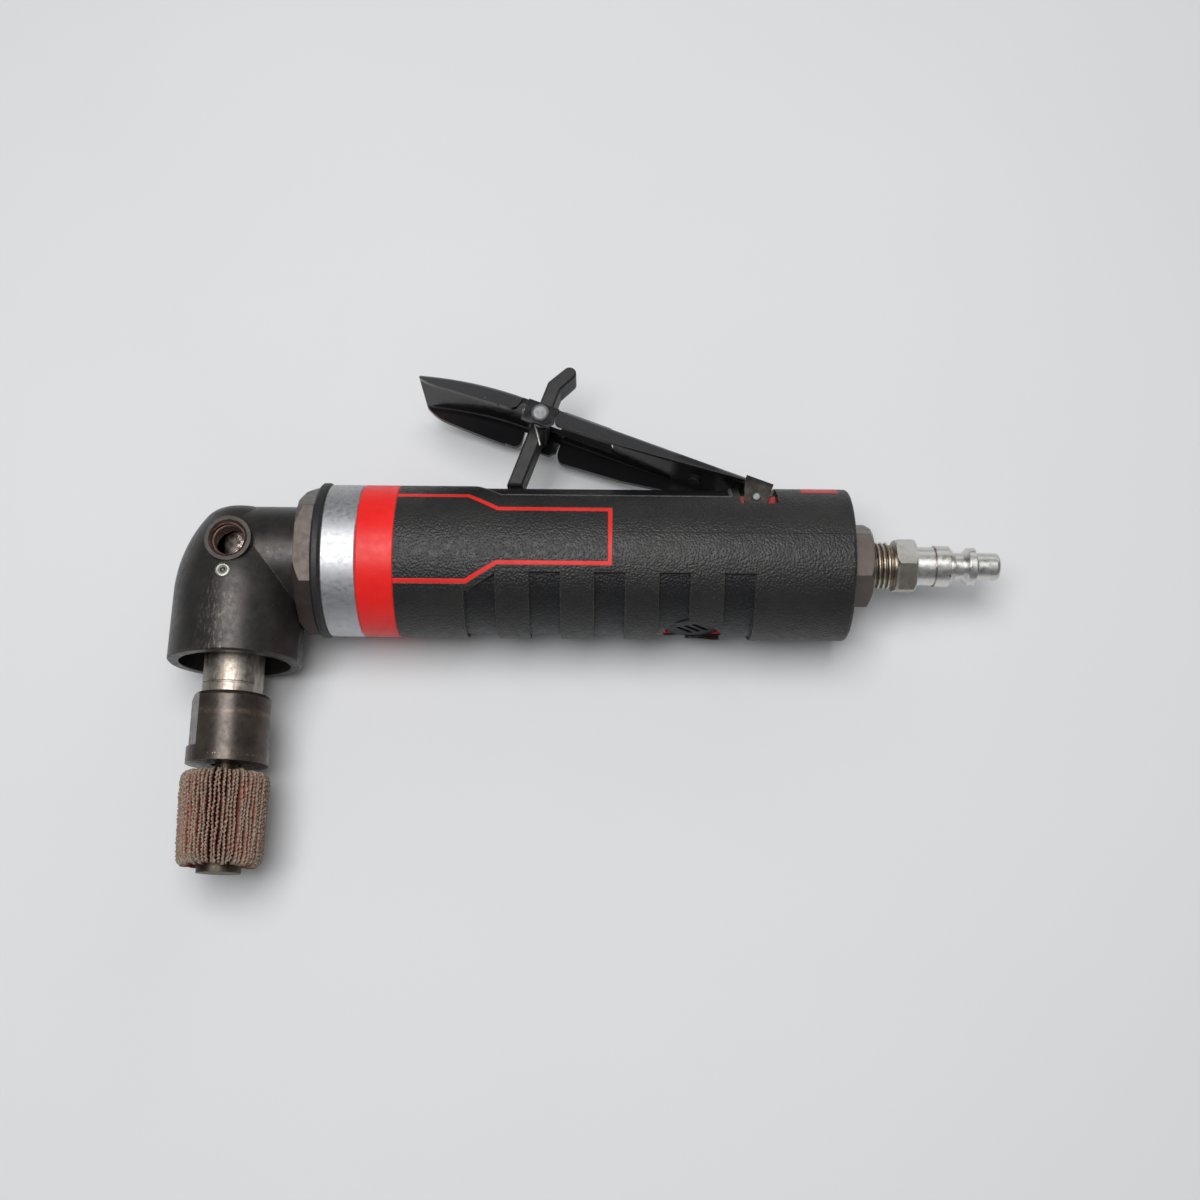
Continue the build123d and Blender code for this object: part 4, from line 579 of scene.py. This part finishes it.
def lock_look():
    """Dull grey-black paint, rubbed at its edges."""
    look = plastic_look(
        "lock_paint", (0.0135, 0.0132, 0.0138), (0.0215, 0.0205, 0.0205), 0.48, 2.4, 0.04
    )
    look.set(Specular_IOR_Level=0.35)
    rubbed = look.span(look.noise(0.9, 4.0), 0.42, 0.6, 0.0, 0.6)
    look.stain(look.times(look.edge, rubbed), (0.12, 0.105, 0.09))
    return look


def cloth_look():
    """Worn abrasive cloth: tan frayed edges, red-brown grit in the gaps."""
    look = Look("flap_cloth")
    y = look.axes()[1]
    rim = look.span(y, -WHEEL_START, -WHEEL_END, WHEEL_TOP, WHEEL_FOOT)
    depth = look.math("SUBTRACT", rim, look.away(1))
    threads = look.span(look.noise(1.9, 4.0, 0.65), 0.34, 0.66)
    fibre = look.mix(threads, (0.115, 0.088, 0.064), (0.43, 0.355, 0.27))
    tint = look.span(look.noise(0.16, 3.0), 0.42, 0.60)
    fibre = look.mix(look.times(tint, 0.22), fibre, (0.30, 0.135, 0.090))
    grains = look.span(look.noise(0.8, 3.0), 0.38, 0.62)
    grit = look.mix(grains, (0.070, 0.018, 0.012), (0.34, 0.062, 0.040))
    gap = look.times(
        look.span(depth, 0.30, 0.85),
        look.span(y, -WHEEL_START - 1.0, -WHEEL_START - 3.5),
        look.span(y, -WHEEL_END + 0.5, -WHEEL_END + 3.0),
    )
    look.colour = look.mix(look.most(gap, look.span(depth, 2.0, 3.0)), fibre, grit)
    look.set(Roughness=look.uneven(0.78, 0.95, 2.0, 3.0))
    look.bump(look.noise(4.5, 3.0, 0.6), 0.12, 0.8)
    return look


def grit_look():
    """The grit side of the flaps, worn through in places and tan at the ends."""
    look = Look("flap_grit")
    y = look.axes()[1]
    grains = look.span(look.noise(1.1, 4.0, 0.65), 0.36, 0.64)
    look.colour = look.mix(grains, (0.105, 0.030, 0.020), (0.36, 0.105, 0.070))
    worn_through = look.span(look.noise(0.7, 5.0, 0.7), 0.52, 0.62)
    look.stain(look.times(worn_through, 0.7), (0.27, 0.20, 0.145))
    ends = look.most(
        look.span(y, -WHEEL_START - 3.0, -WHEEL_START - 1.0),
        look.span(y, -WHEEL_END + 2.5, -WHEEL_END + 0.5),
    )
    look.stain(look.times(ends, 0.8), (0.24, 0.18, 0.13))
    look.set(Roughness=look.uneven(0.70, 0.92, 2.0, 3.0))
    look.bump(look.noise(5.0, 3.0, 0.6), 0.12, 0.9)
    return look


def grease_look():
    """Red-brown grease over bright steel."""
    look = Look("red_grease")
    patch = look.span(look.noise(0.34, 5.0, 0.6), 0.36, 0.58)
    look.colour = look.mix(patch, (0.16, 0.065, 0.045), (0.62, 0.56, 0.50))
    look.set(Metallic=0.5, Roughness=look.uneven(0.16, 0.34, 0.9, 3.0))
    look.bump(look.noise(1.1, 4.0, 0.6), 0.25, 0.8)
    return look


# Blackened and browned steel
wear(head_look(), "angle_head")
wear(
    oxide_look("nut_oxide", (0.054, 0.041, 0.036), (0.078, 0.061, 0.054), (0.22, 0.17, 0.135), 0.38),
    "clamp_nut", "bearing_retainer",
)
wear(
    oxide_look("inlet_oxide", (0.082, 0.066, 0.057), (0.118, 0.096, 0.085), (0.24, 0.19, 0.16), 0.36),
    "inlet_bushing",
)
wear(collet_nut_look(), "collet_nut")

# Bare and plated metal
wear(spindle_look(), "spindle")
wear(
    steel_look("hub_steel", (0.11, 0.092, 0.072), (0.06, 0.043, 0.030), 0.5, (0.40, 0.65), 1),
    "collet", "wheel_hub",
)
wear(
    steel_look("rivet_steel", (0.27, 0.275, 0.28), (0.19, 0.185, 0.18), 0.58, (0.52, 0.75)),
    "lock_rivet", "lever_pin",
)
wear(fitting_look(), "grease_fitting")
wear(
    steel_look("gear_steel", (0.50, 0.29, 0.22), (0.26, 0.12, 0.08), 0.26, (0.35, 0.65)),
    "bevel_gear", "bevel_pinion",
)
wear(
    steel_look("spring_wire", (0.36, 0.35, 0.33), (0.20, 0.18, 0.15), 0.34),
    "valve_spring", "lock_spring",
)
bearing_nodes = [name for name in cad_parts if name.endswith(("_inner", "_outer"))]
wear(steel_look("bearing_steel", (0.58, 0.58, 0.58), (0.45, 0.45, 0.44), 0.26), *bearing_nodes)
wear(
    steel_look("motor_steel", (0.42, 0.42, 0.42), (0.33, 0.32, 0.31), 0.34),
    "rotor", "front_end_plate", "rear_end_plate", "cylinder_liner", "liner_dowel",
    "split_ring", "pinion_spacer", "pinion_retainer", "inlet_screen",
)
wear(plug_look(), "air_plug")
wear(
    steel_look("valve_brass", (0.70, 0.52, 0.24), (0.42, 0.28, 0.12), 0.28),
    "valve_bushing", "valve_plunger",
)
wear(case_look(), "motor_case")

# Plastic, rubber, paint and cloth
wear(red_look(), "housing_core")
wear(stripe_look(), "panel_stripe")
wear(grip_look(), "grip_sleeve")
wear(diffuser_look(), "exhaust_diffuser")
wear(plastic_look("vane_resin", (0.16, 0.09, 0.05), (0.22, 0.13, 0.07), 0.5, 2.0, 0.03), "rotor_vanes")
wear(rubber_look(), "nut_gasket", "stem_seal", "valve_seal")
wear(lever_look(), "throttle_lever")
wear(lock_look(), "lock_lever")
wear(cloth_look(), "flap_pack")


# Modelled details
def add_piece(name, points, faces, material, body, smooth=True):
    """Makes a mesh piece from points in millimetres and lets it ride on a body."""
    mesh = bpy.data.meshes.new(name)
    mesh.from_pydata([place(*point) for point in points], [], faces)
    mesh.materials.append(material)
    mesh.polygons.foreach_set("use_smooth", [smooth] * len(mesh.polygons))
    mesh.validate()
    shape = bmesh.new()
    shape.from_mesh(mesh)
    bmesh.ops.recalc_face_normals(shape, faces=shape.faces)
    shape.to_mesh(mesh)
    shape.free()
    piece = bpy.data.objects.new(name, mesh)
    bpy.context.scene.collection.objects.link(piece)
    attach(piece, body)
    return piece


def bridge(rings, size):
    """Faces between rings of so many points each, closed at both ends."""
    faces = []
    for ring in range(rings - 1):
        for point in range(size):
            after = (point + 1) % size
            low, high = ring * size, (ring + 1) * size
            faces.append((low + point, low + after, high + after, high + point))
    faces.append(tuple(reversed(range(size))))
    faces.append(tuple(range((rings - 1) * size, rings * size)))
    return faces


def helix(root, crest, pitch, start, end, turn_to):
    """Points and faces of a thread ridge along an axis; turn_to places (along, radius, angle)."""
    steps = 56
    fade = 0.3 * steps
    least = 0.04
    foot, flat = 0.46 * pitch, 0.07 * pitch
    turns = (end - start - pitch) / pitch
    count = ceil(turns * steps)
    points = []
    for step in range(count + 1):
        share = min(1, step / fade, (count - step) / fade)
        top = root + (crest - root) * max(share, least)
        along = start + pitch / 2 + (end - start - pitch) * step / count
        angle = 2 * pi * turns * step / count
        for shift, radius in ((-foot, root), (-flat, top), (flat, top), (foot, root)):
            points.append(turn_to(along + shift, radius, angle))
    return points, bridge(count + 1, 4)


def along_plug(along, radius, angle):
    """A point of the thread on the plug, whose axis is x."""
    return along, radius * cos(angle), radius * sin(angle)


def along_port(along, radius, angle):
    """A point of the thread in the port, whose axis is z."""
    return radius * cos(angle), PORT_RISE + radius * sin(angle), along


ridge, ridge_faces = helix(
    PLUG_CORE - THREAD_SINK, PLUG_CREST, PLUG_PITCH, PLUG_START - 0.5, PLUG_HEX - 0.5, along_plug
)
add_piece("plug_thread", ridge, ridge_faces, looks["air_plug"], "housing")
ridge, ridge_faces = helix(
    PORT_RADIUS + THREAD_SINK, PORT_RADIUS - PORT_DEPTH, PORT_PITCH, PORT_FOOT, PORT_TOP, along_port
)
add_piece("port_thread", ridge, ridge_faces, looks["angle_head"], "housing")


def fitting_ball():
    """The ball in the fitting's mouth, as a turned cap."""
    rings, sides, radius, sunk = 7, 24, 0.55, 0.62
    lowest, sweep = 8, 80
    points = []
    for ring in range(rings):
        lift = radians(lowest + sweep * ring / (rings - 1))
        for side in range(sides):
            angle = 2 * pi * side / sides
            points.append((
                FITTING[0] + radius * cos(lift) * cos(angle),
                FITTING[1] + radius * cos(lift) * sin(angle),
                FITTING[2] - sunk + radius * sin(lift),
            ))
    return points, bridge(rings, sides)


ball, ball_faces = fitting_ball()
add_piece("fitting_ball", ball, ball_faces, looks["lock_rivet"], "housing")


def rear_insert():
    """The core's red pad behind the lever, flush with the grip."""
    rows, edge, sunk, proud = 56, 0.2, 0.4, 0.04
    points = []
    for row in range(rows + 1):
        angle = INSERT_HALF * (2 * row / rows - 1)
        for along, radius in (
            (INSERT_START, GRIP_RADIUS - sunk), (INSERT_START + edge, GRIP_RADIUS + proud),
            (INSERT_END - edge, GRIP_RADIUS + proud), (INSERT_END, GRIP_RADIUS - sunk),
        ):
            points.append((along, radius * cos(angle), radius * sin(angle)))
    return points, bridge(rows + 1, 4)


pad, pad_faces = rear_insert()
# The pad takes the red look's painted shade at the rear
add_piece("rear_insert", pad, pad_faces, looks["housing_core"], "housing", smooth=False)


def on_lever(along, out, across):
    """A point on the lever, from its distance along it from the pin and its height above that line."""
    return (
        PIN[0] - along * cos(LEVER_RISE) + out * sin(LEVER_RISE),
        PIN[1] + along * sin(LEVER_RISE) + out * cos(LEVER_RISE),
        across,
    )


def slot_lips():
    """Turned-up edges beside the lock's slot, on the outside of the lever."""
    foot, low, top, thick, taper = 5.4, 5.6, 7.1, 0.5, 1.2
    start, end = SLOT_START + 0.6, SLOT_END - 11.4
    far = SLOT_HALF + thick
    points, faces = [], []
    for side in (-1, 1):
        first = len(points)
        for along, rise in ((start, low), (start + taper, top), (end - taper, top), (end, low)):
            for out, across in ((foot, SLOT_HALF), (rise, SLOT_HALF), (rise, far), (foot, far)):
                points.append(on_lever(along, out, side * across))
        faces += [tuple(first + index for index in face) for face in bridge(4, 4)]
    return points, faces


lips, lip_faces = slot_lips()
add_piece("slot_lips", lips, lip_faces, looks["throttle_lever"], "lever", smooth=False)


def gear_grease():
    """Grease that the gears throw round the spindle, seen through the port as an uneven lump."""
    rings, sides, root = 30, 72, 4.05
    start, end, start_round, end_round = -3.6, 7.2, 1.5, 1.2
    widest, widest_at, thinning = 5.7, 5.5, 0.025
    broad, narrow = 0.13, 0.09
    points = []
    for ring in range(rings):
        along = start + (end - start) * ring / (rings - 1)
        full = widest - thinning * (along - widest_at) ** 2
        close = max(0, min(1, (along - start) / start_round, (end - along) / end_round))
        for side in range(sides):
            angle = 2 * pi * side / sides
            lump = broad * sin(3 * angle + 1.3 * along) + narrow * sin(8 * angle - 2.1 * along)
            radius = root + (full + lump - root) * (1 - (1 - close) ** 2) ** 0.5
            points.append((radius * cos(angle), along, radius * sin(angle)))
    return points, bridge(rings, sides)


lump, lump_faces = gear_grease()
add_piece("gear_grease", lump, lump_faces, grease_look().done(), "spindle")


def flap_section(edge, half):
    """Points round a flap's section, as radius, distance from its middle, and share of its lean."""
    sunk, root_half = 0.4, 0.28
    neck_depth, neck_half = 1.5, 0.27
    bead_depth, tip_share = 0.55, 0.45
    one_side = (
        (FLAP_ROOT - sunk, root_half, 0.0),
        (edge - neck_depth, neck_half, 0.3),
        (edge - bead_depth, half, 0.85),
        (edge, half * tip_share, 1.0),
    )
    other_side = ((radius, -width, bend) for radius, width, bend in reversed(one_side))
    return (*one_side, *other_side)


def flap_wheel():
    """Worn cloth flaps, with beaded frayed edges, a bare grit side and ends of uneven length."""
    chance = random.Random(FLAP_SEED)
    points, faces, gritty_faces = [], [], []
    stations, size, grit_sides = 112, 8, 2
    corner, corner_depth = 3.2, 1.7
    wander, wander_length = 1.6, 1.7
    edge_ripple, ripple_shift = 0.11, 1.2
    lean_ripple, long_bend, long_length, short_bend, short_length = 0.12, 0.17, 3.3, 0.08, 1.2
    bead_half, bead_ripple = 0.36, 0.06
    for flap in range(FLAPS):
        middle = 2 * pi * (flap + chance.uniform(-0.10, 0.10)) / FLAPS
        begin = WHEEL_START + chance.uniform(0.0, 0.5)
        finish = WHEEL_END + chance.uniform(-0.1, 0.9)
        worn = chance.uniform(0.0, 0.3)
        period = chance.uniform(0.9, 1.3)
        phase = chance.uniform(0, 2 * pi)
        sway = chance.uniform(0, 2 * pi)
        tilt = chance.uniform(-0.42, -0.14)
        first = len(points)
        for station in range(stations):
            drop = begin + (finish - begin) * station / (stations - 1)
            share = (drop - WHEEL_START) / (WHEEL_END - WHEEL_START)
            edge = WHEEL_TOP + (WHEEL_FOOT - WHEEL_TOP) * share - worn
            nearest = max(0, min(drop - begin, finish - drop))
            if nearest < corner:
                edge -= corner_depth * (1 - (1 - (1 - nearest / corner) ** 2) ** 0.5)
            wave = 2 * pi * drop / period + phase + wander * sin(drop / wander_length + sway)
            edge += edge_ripple * sin(wave + ripple_shift) + chance.uniform(-0.30, 0.06)
            lean = tilt + lean_ripple * sin(wave) + long_bend * sin(drop / long_length + sway)
            lean += short_bend * sin(drop / short_length + 2 * sway)
            lean += chance.uniform(-0.12, 0.12)
            half = bead_half + bead_ripple * cos(wave) + chance.uniform(-0.10, 0.10)
            for radius, width, bend in flap_section(edge, half):
                angle = middle + (width + lean * bend) / radius
                points.append((radius * cos(angle), -drop, radius * sin(angle)))
        for face in bridge(stations, size):
            if len(face) == 4 and face[0] % size < grit_sides:
                gritty_faces.append(len(faces))
            faces.append(tuple(first + index for index in face))
    add_sleeve(points, faces)
    return points, faces, gritty_faces


def add_sleeve(points, faces):
    """Adds a plain sleeve that closes the wheel between the flaps' roots."""
    sides, inset = 96, 0.5
    start, end = WHEEL_START + inset, WHEEL_END - inset
    corners = ((HUB_RADIUS, start), (FLAP_ROOT, start), (FLAP_ROOT, end), (HUB_RADIUS, end))
    first = len(points)
    for radius, drop in corners:
        for side in range(sides):
            angle = 2 * pi * side / sides
            points.append((radius * cos(angle), -drop, radius * sin(angle)))
    for ring in range(len(corners)):
        low = first + ring * sides
        high = first + (ring + 1) % len(corners) * sides
        for side in range(sides):
            after = (side + 1) % sides
            faces.append((low + side, low + after, high + after, high + side))


flaps, flap_faces, gritty_faces = flap_wheel()
wheel = add_piece("flap_wheel", flaps, flap_faces, looks["flap_pack"], "spindle")
wheel.data.materials.append(grit_look().done())
for index in gritty_faces:
    wheel.data.polygons[index].material_index = 1
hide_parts("flap_pack")

# Floor and light, in metres and watts
FLOOR_SIZE = 6
WORLD_COLOUR = (0.95, 0.97, 1.0, 1)
WORLD_STRENGTH = 0.16

bpy.ops.mesh.primitive_plane_add(size=FLOOR_SIZE, location=(0, 0, cad_low.z))
floor = bpy.context.object
floor.name = "floor"
ground = Look("floor_paper")
ground.colour = ground.mix(ground.noise(0.01, 3.0), (0.70, 0.71, 0.72), (0.73, 0.74, 0.75))
ground.set(Roughness=0.9)
floor.data.materials.append(ground.done())

world = bpy.data.worlds.new("studio")
world.use_nodes = True
world.node_tree.nodes["Background"].inputs["Color"].default_value = WORLD_COLOUR
world.node_tree.nodes["Background"].inputs["Strength"].default_value = WORLD_STRENGTH
bpy.context.scene.world = world


def soft_light(name, location, aim, width, depth, power):
    """A rectangular lamp that faces a point."""
    data = bpy.data.lights.new(name, "AREA")
    data.shape = "RECTANGLE"
    data.size = width
    data.size_y = depth
    data.energy = power
    lamp = bpy.data.objects.new(name, data)
    bpy.context.scene.collection.objects.link(lamp)
    lamp.location = location
    lamp.rotation_mode = "QUATERNION"
    lamp.rotation_quaternion = (Vector(aim) - Vector(location)).to_track_quat("-Z", "Y")


soft_light("key", (-0.10, 0.04, 0.9), (0, 0, 0), width=0.62, depth=0.5, power=7.6)
soft_light("back", (0.55, 0.8, 0.4), (0, 0, 0), width=0.9, depth=0.5, power=1.2)

# Camera at the photograph's viewing angle, with its focal length in pixels of a 1200 pixel frame
CAMERA_AIM = place(102.02, -10.9, 0)
CAMERA_TILT = radians(74.5)
CAMERA_ROLL = radians(0.54)
CAMERA_DISTANCE = 0.4
SENSOR_WIDTH = 36
FRAME_PIXELS = 1200
FOCAL_PIXELS = 1410.2

backward = Vector((0, -cos(CAMERA_TILT), sin(CAMERA_TILT)))
camera = bpy.data.cameras.new("camera")
camera.sensor_width = SENSOR_WIDTH
camera.lens = SENSOR_WIDTH * FOCAL_PIXELS / FRAME_PIXELS
camera.dof.use_dof = False
eye = bpy.data.objects.new("camera", camera)
bpy.context.scene.collection.objects.link(eye)
eye.rotation_mode = "QUATERNION"
eye.location = CAMERA_AIM + backward * CAMERA_DISTANCE
level = (-backward).to_track_quat("-Z", "Y")
eye.rotation_quaternion = level @ Matrix.Rotation(CAMERA_ROLL, 3, "Z").to_quaternion()
bpy.context.scene.camera = eye
bpy.context.scene.view_settings.view_transform = "Standard"
